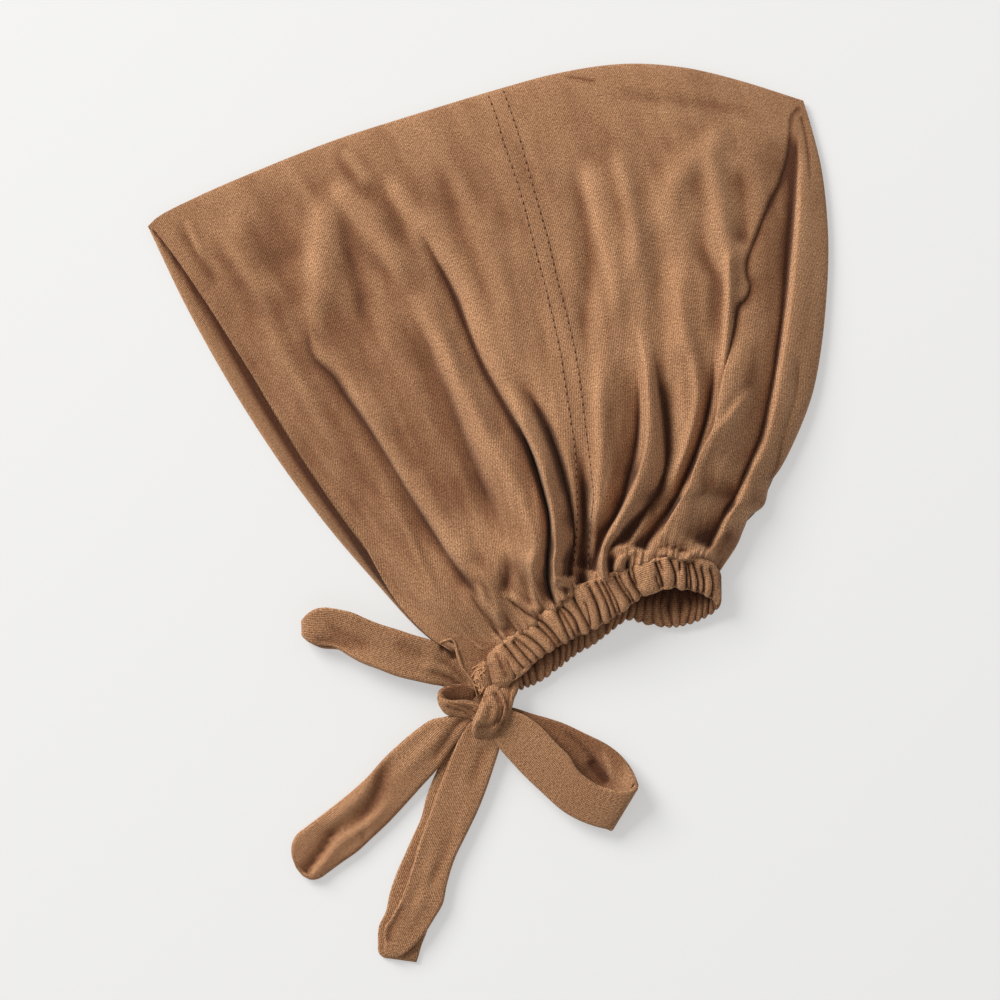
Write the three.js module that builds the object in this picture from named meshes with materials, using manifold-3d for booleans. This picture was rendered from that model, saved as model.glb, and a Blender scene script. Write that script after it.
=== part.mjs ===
// A tie-back underscarf cap of jersey, lying on its left side as it was laid down.
// The cap is a pocket of cloth: an upper side, a lower side flat on the table, and a fold
// round the crown and the back that joins them. It is open along the face edge and at the neck,
// where an elastic casing gathers it. The casing's ties are tied in a bow at the front corner.
// Millimetres, +X from the face edge to the back, +Y from the neck to the crown, +Z up.

import * as THREE from "three";
import { mergeVertices } from "three/addons/utils/BufferGeometryUtils.js";
import Module from "manifold-3d";

const wasm = await Module();
wasm.setup();

// Driving dimensions of the cap
const CAP_LENGTH = 299; // tip of the face edge to the back of the crown
const CAP_HEIGHT = 280; // crown to the lowest rim of the casing
const FRONT_CLOTH = 1.4; // the front panel is the jersey doubled
const BACK_CLOTH = 1.1; // the back panel is one layer
const EDGE_RADIUS = 2.6; // the fold round the crown and the back
const FACE_LIFT = 10; // how high the upper side stands at the face edge
const CAP_LIFT = 20; // and over the gathers
const GAP = 0.3; // between pieces that are sewn or tied together

// Driving dimensions of the casing and the ties
const CASING_WIDTH = 16;
const CASING_THICK = 5.2;
const RUFFLE_DEPTH = 1.1;
const RUFFLE_PITCH = 5;
const TIE_WIDTH = 21; // a tie is a flat tube of jersey
const TIE_THICK = 2.6;
const LEFT_LOOP_LENGTH = 86; // from the knot's middle to the fold
const RIGHT_LOOP_LENGTH = 72;
const LEFT_TAIL_LENGTH = 104;
const LOWER_TAIL_LENGTH = 114;
const KNOT_LENGTH = 20; // the wrap from its top to its foot
const KNOT_WIDTH = 14;
const KNOT_HEIGHT = 16;
const ROLL_WIDTH = 9; // the tie where the knot rolls it up
const ROLL_THICK = 6.5;

// How finely the cloth is modelled
const FRONT_COLUMNS = 20;
const BACK_COLUMNS = 22;
const SIDE_ROWS = 16;
const TIE_SIDES = 10;
const CASING_SIDES = 8;
const RINGS_A_RUFFLE = 3;
const RINGS_A_ROW = 4;
const WRAP_RINGS = 8;
const SEAM_AT_NECK = 0.5; // shares of the way from the face edge to the back
const SEAM_AT_CROWN = 0.545;

// The outline, as shares of the cap's length from the tip and of its height from the casing
const CROWN = [
  { along: 0.0, up: 0.745 },
  { along: 0.014, up: 0.759 },
  { along: 0.072, up: 0.791 },
  { along: 0.147, up: 0.826 },
  { along: 0.272, up: 0.879 },
  { along: 0.379, up: 0.916 },
  { along: 0.518, up: 0.961 },
  { along: 0.594, up: 0.983 },
  { along: 0.669, up: 0.997 },
  { along: 0.722, up: 1.0 },
  { along: 0.793, up: 0.993 },
  { along: 0.868, up: 0.974 },
  { along: 0.963, up: 0.942 },
];
const BACK = [
  { along: 0.844, up: 0.209 },
  { along: 0.874, up: 0.262 },
  { along: 0.905, up: 0.316 },
  { along: 0.931, up: 0.367 },
  { along: 0.955, up: 0.419 },
  { along: 0.976, up: 0.479 },
  { along: 0.996, up: 0.617 },
  { along: 1.0, up: 0.718 },
  { along: 0.991, up: 0.828 },
  { along: 0.975, up: 0.9 },
  { along: 0.963, up: 0.942 },
];
const FACE_UPPER = [
  { along: 0.44, up: 0.082 },
  { along: 0.412, up: 0.102 },
  { along: 0.365, up: 0.156 },
  { along: 0.304, up: 0.269 },
  { along: 0.229, up: 0.381 },
  { along: 0.154, up: 0.509 },
  { along: 0.079, up: 0.635 },
  { along: 0.024, up: 0.718 },
  { along: 0.0, up: 0.745 },
];
const FACE_LOWER = [
  { along: 0.447, up: 0.071 },
  { along: 0.4, up: 0.11 },
  { along: 0.334, up: 0.187 },
  { along: 0.268, up: 0.269 },
  { along: 0.193, up: 0.376 },
  { along: 0.118, up: 0.501 },
  { along: 0.053, up: 0.626 },
  { along: 0.0, up: 0.745 },
];
const NECK_UPPER = [
  { along: 0.44, up: 0.082 },
  { along: 0.47, up: 0.082 },
  { along: 0.5, up: 0.085 },
  { along: 0.527, up: 0.098 },
  { along: 0.554, up: 0.116 },
  { along: 0.595, up: 0.151 },
  { along: 0.633, up: 0.181 },
  { along: 0.667, up: 0.196 },
  { along: 0.7, up: 0.212 },
  { along: 0.745, up: 0.224 },
  { along: 0.784, up: 0.228 },
  { along: 0.821, up: 0.224 },
  { along: 0.844, up: 0.209 },
];
const NECK_LOWER = [
  { along: 0.447, up: 0.071 },
  { along: 0.488, up: 0.058 },
  { along: 0.534, up: 0.065 },
  { along: 0.607, up: 0.11 },
  { along: 0.663, up: 0.158 },
  { along: 0.731, up: 0.172 },
  { along: 0.765, up: 0.164 },
  { along: 0.799, up: 0.169 },
  { along: 0.822, up: 0.199 },
  { along: 0.844, up: 0.209 },
];

// The main folds of the upper side. Each runs from the neck to the crown: neck and crown say
// where along them, low and high how far up it reaches, width is a share of the cap's length,
// and height of its lift.
const FOLDS = [
  { neck: 0.16, crown: 0.26, low: 0.02, high: 0.95, width: 0.03, height: 0.16 },
  { neck: 0.22, crown: 0.3, low: 0, high: 0.7, width: 0.02, height: -0.14 },
  { neck: 0.3, crown: 0.34, low: 0, high: 0.85, width: 0.026, height: 0.2 },
  { neck: 0.36, crown: 0.39, low: 0, high: 0.75, width: 0.017, height: -0.32 },
  { neck: 0.41, crown: 0.44, low: 0, high: 0.6, width: 0.016, height: 0.2 },
  { neck: 0.5, crown: 0.52, low: 0, high: 0.3, width: 0.018, height: -0.24 },
  { neck: 0.6, crown: 0.58, low: 0, high: 0.85, width: 0.024, height: 0.16 },
  { neck: 0.66, crown: 0.65, low: 0, high: 0.8, width: 0.017, height: -0.2 },
  { neck: 0.73, crown: 0.73, low: 0, high: 0.85, width: 0.02, height: 0.18 },
  { neck: 0.8, crown: 0.82, low: 0.05, high: 0.8, width: 0.016, height: -0.2 },
  { neck: 0.87, crown: 0.9, low: 0.03, high: 0.9, width: 0.018, height: 0.16 },
];

const smooth = (t) => {
  const x = THREE.MathUtils.clamp(t, 0, 1);
  return x * x * (3 - 2 * x);
};

// A smooth curve through a table of the outline, read at a share of its length.
function outline(rows) {
  const points = rows.map(
    ({ along, up }) => new THREE.Vector3(along * CAP_LENGTH, up * CAP_HEIGHT, 0),
  );
  const curve = new THREE.CatmullRomCurve3(points, false, "centripetal");
  curve.arcLengthDivisions = 400;
  return curve;
}

const crown = outline(CROWN);
const back = outline(BACK);
const neckUpper = outline(NECK_UPPER);
const neckLower = outline(NECK_LOWER);

// One side of the cap spread between its four edges: across runs from the face edge to the
// back, up from the neck to the crown.
function side(face, neck) {
  const corners = [neck.getPointAt(0), neck.getPointAt(1), crown.getPointAt(0), crown.getPointAt(1)];
  return (across, up) => {
    const place = face.getPointAt(up).multiplyScalar(1 - across);
    place.addScaledVector(back.getPointAt(up), across);
    place.addScaledVector(neck.getPointAt(across), 1 - up);
    place.addScaledVector(crown.getPointAt(across), up);
    place.addScaledVector(corners[0], -(1 - across) * (1 - up));
    place.addScaledVector(corners[1], -across * (1 - up));
    place.addScaledVector(corners[2], -(1 - across) * up);
    place.addScaledVector(corners[3], -across * up);
    return place;
  };
}

const upperSide = side(outline(FACE_UPPER), neckUpper);
const lowerSide = side(outline(FACE_LOWER), neckLower);

// How far a side has parted from the fold round the crown and the back: 0 at it, 1 well inside.
const CROWN_POWER = 2.3;
const BACK_POWER = 2.6;
const BACK_FROM = 0.5;
function parting(across, up) {
  const overCrown = Math.sqrt(Math.max(0, 1 - up ** CROWN_POWER));
  const toBack = THREE.MathUtils.clamp((across - BACK_FROM) / (1 - BACK_FROM), 0, 1);
  return overCrown * Math.sqrt(Math.max(0, 1 - toBack ** BACK_POWER));
}

const LIFT_OVER = 0.4; // the share of the cap behind the face edge in which it rises
const lift = (across) => THREE.MathUtils.lerp(FACE_LIFT, CAP_LIFT, smooth(across / LIFT_OVER));

const FOLD_FADE = 0.16;
function folds(across, up) {
  const widthHere = THREE.MathUtils.lerp(neckUpper.getLength(), crown.getLength(), up);
  let height = 0;
  for (const fold of FOLDS) {
    const middle = THREE.MathUtils.lerp(fold.neck, fold.crown, up);
    const away = ((across - middle) * widthHere) / (fold.width * CAP_LENGTH);
    const fade = smooth((up - fold.low) / FOLD_FADE + 1) * smooth((fold.high - up) / FOLD_FADE);
    height += fold.height * CAP_LIFT * fade * Math.exp(-away * away);
  }
  return height;
}

const upperHeight = (across, up) => EDGE_RADIUS + lift(across) * parting(across, up)
  + folds(across, up) * parting(across, up);

// A point of the cap's wall. The inner face is drawn in from the closed edges by the cloth.
function wallPoint(isUpper, isInner, cloth, across, up) {
  const depth = crown.getLength();
  const inUp = isInner ? up * (1 - cloth / CAP_HEIGHT) : up;
  const inAcross = isInner ? across * (1 - cloth / depth) : across;
  const open = parting(across, up);
  const place = (isUpper || open === 0 ? upperSide : lowerSide)(inAcross, inUp);
  if (isUpper) {
    place.z = upperHeight(across, up) - (isInner ? cloth * open : 0);
  } else {
    const flat = Math.min(1, open * (lift(across) / EDGE_RADIUS));
    place.z = EDGE_RADIUS * (1 - flat) + (isInner ? cloth * flat : 0);
  }
  return place;
}

// Collects triangles, welds their corners and gives one closed geometry.
class Shell {
  constructor() {
    this.corners = [];
  }
  triangle(...three) {
    three.forEach((corner) => this.corners.push(corner.x, corner.y, corner.z));
  }
  quad(a, b, c, d) {
    this.triangle(a, b, c);
    this.triangle(a, c, d);
  }
  geometry() {
    const loose = new THREE.BufferGeometry();
    loose.setAttribute("position", new THREE.Float32BufferAttribute(this.corners, 3));
    return withoutSlivers(mergeVertices(loose, 1e-3));
  }
}

function withoutSlivers(geometry) {
  const kept = [];
  const index = geometry.index.array;
  for (let i = 0; i < index.length; i += 3) {
    const [a, b, c] = index.slice(i, i + 3);
    if (a !== b && b !== c && c !== a) kept.push(a, b, c);
  }
  geometry.setIndex(kept);
  return geometry;
}

// The rows of a panel run from the upper side's neck edge over the crown to the lower side's.
function panelRows() {
  const rows = [];
  for (let row = 0; row <= SIDE_ROWS; row++) {
    rows.push({ isUpper: true, up: Math.sin(((row / SIDE_ROWS) * Math.PI) / 2) });
  }
  for (let row = SIDE_ROWS - 1; row >= 0; row--) {
    rows.push({ isUpper: false, up: rows[row].up });
  }
  return rows;
}

// How far back the seam between the panels lies. It leans towards the back at the crown.
const seamAt = (up) => THREE.MathUtils.lerp(SEAM_AT_NECK, SEAM_AT_CROWN, smooth(up));

// A panel between two lines, each a share of the way back at a height. One that reaches the back
// is closed there.
function panel(from, to, columns, cloth) {
  const rows = panelRows();
  const isClosed = to(0) >= 1;
  const at = (column, row, isInner) => {
    const share = isClosed ? 1 - (1 - column / columns) ** 1.3 : column / columns;
    const { isUpper, up } = rows[row];
    const across = THREE.MathUtils.lerp(from(up), to(up), share);
    return wallPoint(isUpper, isInner, cloth, across, up);
  };
  const shell = new Shell();
  const last = rows.length - 1;
  for (let column = 0; column < columns; column++) {
    const next = column + 1;
    for (let row = 0; row < last; row++) {
      shell.quad(
        at(column, row, false),
        at(next, row, false),
        at(next, row + 1, false),
        at(column, row + 1, false),
      );
      shell.quad(
        at(column, row, true),
        at(column, row + 1, true),
        at(next, row + 1, true),
        at(next, row, true),
      );
    }
    shell.quad(at(column, 0, true), at(next, 0, true), at(next, 0, false), at(column, 0, false));
    shell.quad(
      at(column, last, false),
      at(next, last, false),
      at(next, last, true),
      at(column, last, true),
    );
  }
  for (let row = 0; row < last; row++) {
    shell.quad(at(0, row, true), at(0, row, false), at(0, row + 1, false), at(0, row + 1, true));
    if (!isClosed) {
      shell.quad(
        at(columns, row, false),
        at(columns, row, true),
        at(columns, row + 1, true),
        at(columns, row + 1, false),
      );
    }
  }
  return shell.geometry();
}

// A tube of a flat rounded section along rings. Each ring has its middle, the direction of its
// width, the direction of its thickness, and both half sizes. It is flattened where it rests.
const SECTION_POWER = 0.55;
function tube(rings, sides) {
  const shell = new Shell();
  const bend = (value) => Math.sign(value) * Math.abs(value) ** SECTION_POWER;
  const at = (ring, step) => {
    const turn = (step / sides) * Math.PI * 2;
    const place = ring.middle
      .clone()
      .addScaledVector(ring.wide, bend(Math.cos(turn)) * ring.halfWidth)
      .addScaledVector(ring.thick, bend(Math.sin(turn)) * ring.halfThick);
    place.z = Math.max(0, place.z);
    return place;
  };
  const end = rings[rings.length - 1];
  for (let i = 1; i < rings.length; i++) {
    for (let step = 0; step < sides; step++) {
      shell.quad(
        at(rings[i - 1], step),
        at(rings[i - 1], step + 1),
        at(rings[i], step + 1),
        at(rings[i], step),
      );
    }
  }
  for (let step = 1; step < sides - 1; step++) {
    shell.triangle(at(rings[0], 0), at(rings[0], step + 1), at(rings[0], step));
    shell.triangle(at(end, 0), at(end, step), at(end, step + 1));
  }
  return shell.geometry();
}

// Frames for rings: the width follows a hint, square to the path.
function ringAlong(path, hints, share, halfWidth, halfThick) {
  const middle = path.getPoint(share);
  const ahead = path.getTangent(share);
  const thick = new THREE.Vector3().crossVectors(ahead, hints.getPoint(share)).normalize();
  const wide = new THREE.Vector3().crossVectors(thick, ahead).normalize();
  return { middle, wide, thick, halfWidth, halfThick };
}

const curveOf = (points) => new THREE.CatmullRomCurve3(points, false, "centripetal");

// The elastic casing: along the upper neck edge, round the back and along the lower one.
const CASING_TURNS_AT = 0.895;
const CASING_LOWER_END = 0.12;
const CASING_STEPS = 12;
const MOUTH_FLARE = 0.3;
const MOUTH_OVER = 0.08;
const TURN_BULGE = 0.18; // of the casing's width
function casing(grow) {
  const middles = [];
  const hints = [];
  const outward = (neck, share) => {
    const along = neck.getTangentAt(share);
    return new THREE.Vector3(along.y, -along.x, 0);
  };
  const place = (neck, share, height, flare) => {
    const out = outward(neck, share);
    const half = (CASING_WIDTH / 2) * (1 + flare);
    const middle = neck.getPointAt(share).addScaledVector(out, GAP + half);
    middle.z = height;
    middles.push(middle);
    hints.push(out.negate());
  };
  const shareAt = (step) => (step / CASING_STEPS) * CASING_TURNS_AT;
  for (let step = 0; step <= CASING_STEPS; step++) {
    const share = shareAt(step);
    const top = upperHeight(share, 0);
    place(neckUpper, share, top - CASING_THICK / 2, MOUTH_FLARE * Math.exp(-share / MOUTH_OVER));
  }
  const lowerFrom = middles.length;
  for (let step = CASING_STEPS; shareAt(step) >= CASING_LOWER_END; step--) {
    place(neckLower, shareAt(step), CASING_THICK / 2, 0);
  }
  const [above, below] = [middles[lowerFrom - 1], middles[lowerFrom]];
  const turn = above.clone().lerp(below, 0.5);
  turn.x += TURN_BULGE * CASING_WIDTH;
  middles.splice(lowerFrom, 0, turn);
  hints.splice(lowerFrom, 0, hints[lowerFrom - 1].clone().lerp(hints[lowerFrom], 0.5));

  const path = curveOf(middles);
  const rims = curveOf(hints);
  const ruffles = Math.round(path.getLength() / RUFFLE_PITCH);
  const count = ruffles * RINGS_A_RUFFLE;
  const rings = [];
  for (let i = 0; i <= count; i++) {
    const share = i / count;
    const ripple = Math.abs(Math.sin(share * ruffles * Math.PI));
    const flare = MOUTH_FLARE * Math.exp(-share / (MOUTH_OVER / 2));
    rings.push(
      ringAlong(
        path,
        rims,
        share,
        (CASING_WIDTH / 2) * (1 + flare) + grow,
        CASING_THICK / 2 - RUFFLE_DEPTH * (1 - ripple) + grow,
      ),
    );
  }
  return tube(rings, CASING_SIDES);
}

// The bow. Its places are measured from the knot's middle, which lies below the casing's mouth.
const KNOT_FROM_MOUTH = { along: 1.15, down: 1.8 }; // shares of the casing's width
const knot = neckUpper.getPointAt(0).add(
  new THREE.Vector3(KNOT_FROM_MOUTH.along, -KNOT_FROM_MOUTH.down, 0).multiplyScalar(CASING_WIDTH),
);

// Rings along a table of a tie's places, in a frame turned by heading. along and across are
// shares of its reach and of the tie's width, rise of the knot's height and wide of the ring's
// width. roll tips the width up from the table, in degrees.
function tieRings(rows, heading, reach, width, thick) {
  const turn = THREE.MathUtils.degToRad(heading);
  const ahead = new THREE.Vector3(Math.cos(turn), Math.sin(turn), 0);
  const left = new THREE.Vector3(-Math.sin(turn), Math.cos(turn), 0);
  const middles = rows.map((row) => knot.clone()
    .addScaledVector(ahead, row.along * reach)
    .addScaledVector(left, row.across * TIE_WIDTH)
    .add(new THREE.Vector3(0, 0, thick / 2 + row.rise * KNOT_HEIGHT)));
  const hints = rows.map((row) => {
    const roll = THREE.MathUtils.degToRad(row.roll);
    const hint = left.clone().multiplyScalar(Math.cos(roll));
    hint.z = Math.sin(roll);
    return hint;
  });
  const widths = rows.map((row) => new THREE.Vector3(row.wide, 0, 0));
  const [path, turns, wides] = [middles, hints, widths].map(curveOf);
  const count = (rows.length - 1) * RINGS_A_ROW;
  const rings = [];
  for (let i = 0; i <= count; i++) {
    const share = i / count;
    const half = (wides.getPoint(share).x * width) / 2;
    rings.push(ringAlong(path, turns, share, half, thick / 2));
  }
  return rings;
}

const grown = (rings, grow) => rings.map((ring) => ({
  ...ring,
  halfWidth: ring.halfWidth + grow,
  halfThick: ring.halfThick + grow,
}));

const RIGHT_LOOP = [
  { along: 0.08, across: 0.05, rise: 0.2, wide: 0.55, roll: 0 },
  { along: 0.4, across: 0.22, rise: 0.08, wide: 0.95, roll: 12 },
  { along: 0.66, across: 0.36, rise: 0.1, wide: 1.0, roll: 20 },
  { along: 0.88, across: 0.2, rise: 0.04, wide: 1.05, roll: 8 },
  { along: 1.0, across: 0.1, rise: 0.2, wide: 1.1, roll: 0 },
  { along: 0.88, across: 0, rise: 0.4, wide: 1.1, roll: 0 },
  { along: 0.41, across: -0.16, rise: 0.5, wide: 1.0, roll: 0 },
  { along: 0.08, across: -0.05, rise: 0.55, wide: 0.55, roll: 0 },
];
const LEFT_LOOP = [
  { along: 0.1, across: 0, rise: 0.25, wide: 0.5, roll: 0 },
  { along: 0.45, across: 0, rise: 0.04, wide: 0.95, roll: 0 },
  { along: 0.9, across: 0.04, rise: 0.02, wide: 1.0, roll: 0 },
  { along: 1.0, across: 0.06, rise: 0.17, wide: 1.0, roll: 0 },
  { along: 0.9, across: 0.04, rise: 0.33, wide: 1.0, roll: 0 },
  { along: 0.45, across: 0, rise: 0.42, wide: 1.0, roll: 0 },
  { along: 0.1, across: 0, rise: 0.55, wide: 0.5, roll: 0 },
];
const LEFT_TAIL = [
  { along: 0.06, across: 0, rise: 0.25, wide: 0.5, roll: 0 },
  { along: 0.2, across: -0.05, rise: 0.15, wide: 0.8, roll: 0 },
  { along: 0.45, across: -0.08, rise: 0.02, wide: 1.05, roll: 0 },
  { along: 0.83, across: 0.12, rise: 0, wide: 1.08, roll: 0 },
  { along: 1.0, across: 0, rise: 0, wide: 0.8, roll: 0 },
];
const LOWER_TAIL = [
  { along: 0.1, across: 0, rise: 0.08, wide: 0.8, roll: 0 },
  { along: 0.25, across: 0, rise: 0.01, wide: 1.1, roll: 0 },
  { along: 0.45, across: 0, rise: 0, wide: 1.2, roll: 0 },
  { along: 0.72, across: 0.05, rise: 0, wide: 1.08, roll: 0 },
  { along: 0.95, across: 0, rise: 0, wide: 0.9, roll: 0 },
  { along: 1.0, across: 0, rise: 0, wide: 0.8, roll: 0 },
];
// The turn of the tie round the loops, beside the wrap, and its lead from the casing's lower end
const KNOT_TURN = [
  { along: 0.2, across: 0.32, rise: 0.38, wide: 1, roll: 20 },
  { along: 0.62, across: 0.44, rise: 0.38, wide: 1.1, roll: 30 },
  { along: 0.95, across: 0.36, rise: 0.32, wide: 1, roll: 70 },
  { along: 0.95, across: 0.06, rise: 0.24, wide: 1, roll: 100 },
  { along: 0.6, across: -0.1, rise: 0.24, wide: 1, roll: 130 },
  { along: 0.2, across: -0.12, rise: 0.28, wide: 0.9, roll: 140 },
];
const KNOT_LEAD = [
  { along: 0.2, across: 0, rise: 0.35, wide: 0.9, roll: 0 },
  { along: 0.6, across: -0.06, rise: 0.25, wide: 1.1, roll: 0 },
  { along: 1.0, across: 0, rise: 0, wide: 1.2, roll: 0 },
];
const TURN_REACH = 22;
const LEAD_REACH = 18;

// The wrap round the middle of the bow: a band that stands over all that it holds.
const WRAP_HEADING = -105;
const WRAP_ROUNDING = 0.36; // how much of each side of the band is rounded off
function knotWrap(grow) {
  const turn = THREE.MathUtils.degToRad(WRAP_HEADING);
  const wide = new THREE.Vector3(Math.cos(turn), Math.sin(turn), 0);
  const aside = new THREE.Vector3(-Math.sin(turn), Math.cos(turn), 0);
  const thick = new THREE.Vector3().crossVectors(aside, wide);
  const rings = [];
  for (let i = 0; i <= WRAP_RINGS; i++) {
    const share = (i / WRAP_RINGS) * 2 - 1;
    const middle = knot.clone().addScaledVector(aside, (share * KNOT_WIDTH) / 2);
    middle.z = KNOT_HEIGHT / 2;
    const full = 1 - WRAP_ROUNDING * Math.abs(share) ** 3;
    rings.push({
      middle,
      wide,
      thick,
      halfWidth: (full * KNOT_LENGTH) / 2,
      halfThick: (full * KNOT_HEIGHT) / 2,
    });
  }
  const band = grown(rings, grow);
  band[0].middle.addScaledVector(aside, -grow);
  band[WRAP_RINGS].middle.addScaledVector(aside, grow);
  return tube(band, TIE_SIDES);
}

const solidOf = (geometry) => new wasm.Manifold(
  new wasm.Mesh({
    numProp: 3,
    vertProperties: geometry.attributes.position.array,
    triVerts: new Uint32Array(geometry.index.array),
  }),
);

function geometryOf(solid) {
  const mesh = solid.getMesh();
  const geometry = new THREE.BufferGeometry();
  geometry.setAttribute("position", new THREE.Float32BufferAttribute(mesh.vertProperties, 3));
  geometry.setIndex(new THREE.BufferAttribute(mesh.triVerts, 1));
  return geometry;
}

// Each tied piece is cut back from those that hold it, a gap all round, and its longest stretch
// is kept.
function cutBack(make, holders) {
  let solid = solidOf(make(0));
  for (const holder of holders) solid = solid.subtract(solidOf(holder(GAP)));
  const stretches = solid.decompose();
  stretches.sort((one, other) => other.volume() - one.volume());
  return geometryOf(stretches[0]);
}

const tie = (rows, heading, reach) => (grow) => tube(
  grown(tieRings(rows, heading, reach, TIE_WIDTH, TIE_THICK), grow),
  TIE_SIDES,
);
const roll = (rows, heading, reach) => (grow) => tube(
  grown(tieRings(rows, heading, reach, ROLL_WIDTH, ROLL_THICK), grow),
  TIE_SIDES,
);
const TIES = {
  knot_turn: roll(KNOT_TURN, 178, TURN_REACH),
  knot_lead: roll(KNOT_LEAD, 57, LEAD_REACH),
  bow_loop_right: tie(RIGHT_LOOP, -35, RIGHT_LOOP_LENGTH),
  bow_loop_left: tie(LEFT_LOOP, 154, LEFT_LOOP_LENGTH),
  tail_left: tie(LEFT_TAIL, -143.6, LEFT_TAIL_LENGTH),
  tail_lower: tie(LOWER_TAIL, -110.3, LOWER_TAIL_LENGTH),
};

const jersey = (name, colour) => new THREE.MeshStandardMaterial({
  name,
  color: new THREE.Color(colour),
  roughness: 0.9,
  metalness: 0,
});

const cap = new THREE.Group();
function add(name, geometry, material) {
  const mesh = new THREE.Mesh(geometry, material);
  mesh.name = name;
  cap.add(mesh);
}

const HALF_GAP = GAP / 2 / CAP_LENGTH;
const faceEdge = () => 0;
const closedBack = () => 1;
const beforeSeam = (up) => seamAt(up) - HALF_GAP;
const behindSeam = (up) => seamAt(up) + HALF_GAP;
const front = panel(faceEdge, beforeSeam, FRONT_COLUMNS, FRONT_CLOTH);
const rear = panel(behindSeam, closedBack, BACK_COLUMNS, BACK_CLOTH);
add("front_panel", front, jersey("panels", "#a06f4c"));
add("back_panel", rear, jersey("panels", "#a06f4c"));
add("neck_casing", casing(0), jersey("casing", "#a5744f"));
add("knot_wrap", cutBack(knotWrap, [casing]), jersey("ties", "#a5744f"));
const holders = [casing, knotWrap];
for (const [name, make] of Object.entries(TIES)) {
  add(name, cutBack(make, holders), jersey("ties", "#a5744f"));
  holders.push(make);
}

// The origin is under the middle of the whole, on the surface that it lies on.
const middle = new THREE.Box3().setFromObject(cap).getCenter(new THREE.Vector3());
cap.position.set(-middle.x, -middle.y, 0);

export default cap;
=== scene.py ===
# A tie-back jersey underscarf cap, laid on its side on a pale surface.
# The cloth is modelled over the frame's solids: a doubled front panel, a gathered back panel,
# a ruffled elastic casing and a bow. Lengths are in millimetres until they reach Blender, which
# has metres. Tables read off the photograph are in its pixels, and say so.

import math

import bmesh
import bpy
import numpy as np
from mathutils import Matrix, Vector
from mathutils.bvhtree import BVHTree


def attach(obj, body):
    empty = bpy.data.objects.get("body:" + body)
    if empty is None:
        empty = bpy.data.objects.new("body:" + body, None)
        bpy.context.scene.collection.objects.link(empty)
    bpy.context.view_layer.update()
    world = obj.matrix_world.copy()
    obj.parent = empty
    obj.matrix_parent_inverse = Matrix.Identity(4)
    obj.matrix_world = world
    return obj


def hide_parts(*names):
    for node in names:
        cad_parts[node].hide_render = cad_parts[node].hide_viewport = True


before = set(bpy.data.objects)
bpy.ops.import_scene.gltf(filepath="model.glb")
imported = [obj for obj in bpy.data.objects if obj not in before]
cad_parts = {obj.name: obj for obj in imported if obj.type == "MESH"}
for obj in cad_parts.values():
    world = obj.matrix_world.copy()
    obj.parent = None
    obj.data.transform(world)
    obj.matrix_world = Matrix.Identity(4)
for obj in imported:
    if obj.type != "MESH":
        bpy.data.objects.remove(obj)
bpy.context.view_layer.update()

MM = 0.001
SEED = 7

# The photograph's frame, in pixels, seen from straight above
PHOTO_SIZE = 1000
MM_PER_PIXEL = 0.44
ORIGIN_PIXEL = (488.25, 513.6)
PHOTO_CENTRE = (500, 500)


def from_photo(pixels):
    """Millimetres in the part's frame from pixels of the photograph."""
    pixels = np.asarray(pixels, float)
    x = (pixels[..., 0] - ORIGIN_PIXEL[0]) * MM_PER_PIXEL
    y = (ORIGIN_PIXEL[1] - pixels[..., 1]) * MM_PER_PIXEL
    return np.stack([x, y], axis=-1)


def pairs(numbers):
    """Points from numbers that give x and y in turn."""
    return np.reshape(numbers, (-1, 2))


# Sizes of the cap as the solids have them, and the pixels at which its tip and its neck lie
CAP_LENGTH = 299
CAP_HEIGHT = 280
TIP_PIXEL = 148.5
NECK_PIXEL = 700.4
EDGE_RADIUS = 2.6
FACE_LIFT = 10
CAP_LIFT = 20
LIFT_OVER = 0.4
SEAM_AT_NECK = 0.5
SEAM_AT_CROWN = 0.545
SEAM_BEND = 1.6
CROWN_FLAT = 0.4
CROWN_POWER = 2.3
BACK_POWER = 2.6
BACK_FROM = 0.5

# The outline, as shares of the cap's length and height
CROWN = (
    (0, 0.745), (0.014, 0.759), (0.072, 0.791), (0.147, 0.826), (0.272, 0.879), (0.379, 0.916),
    (0.518, 0.961), (0.594, 0.983), (0.669, 0.997), (0.722, 1), (0.793, 0.993), (0.868, 0.974),
    (0.963, 0.942),
)
BACK = (
    (0.844, 0.209), (0.866, 0.245), (0.884, 0.288), (0.905, 0.306), (0.914, 0.34), (0.931, 0.367),
    (0.955, 0.419), (0.976, 0.479), (0.988, 0.542), (0.996, 0.617), (1, 0.718), (0.991, 0.828),
    (0.975, 0.9), (0.963, 0.942),
)
FACE_UPPER = (
    (0.44, 0.082), (0.412, 0.102), (0.365, 0.156), (0.304, 0.269), (0.229, 0.381), (0.154, 0.509),
    (0.079, 0.635), (0.024, 0.718), (0, 0.745),
)
FACE_LOWER = (
    (0.447, 0.071), (0.4, 0.11), (0.334, 0.187), (0.268, 0.269), (0.193, 0.376), (0.118, 0.501),
    (0.053, 0.626), (0, 0.745),
)
NECK_UPPER = (
    (0.44, 0.082), (0.47, 0.082), (0.5, 0.085), (0.527, 0.098), (0.554, 0.116), (0.595, 0.151),
    (0.633, 0.181), (0.667, 0.196), (0.7, 0.212), (0.745, 0.224), (0.784, 0.228), (0.821, 0.224),
    (0.844, 0.209),
)
NECK_LOWER = (
    (0.447, 0.071), (0.488, 0.058), (0.534, 0.065), (0.607, 0.11), (0.663, 0.158), (0.731, 0.172),
    (0.765, 0.164), (0.799, 0.169), (0.829, 0.189), (0.844, 0.209),
)


def smooth(t):
    t = np.clip(t, 0, 1)
    return t * t * (3 - 2 * t)


def unit(vectors):
    return vectors / np.maximum(np.linalg.norm(vectors, axis=-1, keepdims=True), 1e-9)


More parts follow.
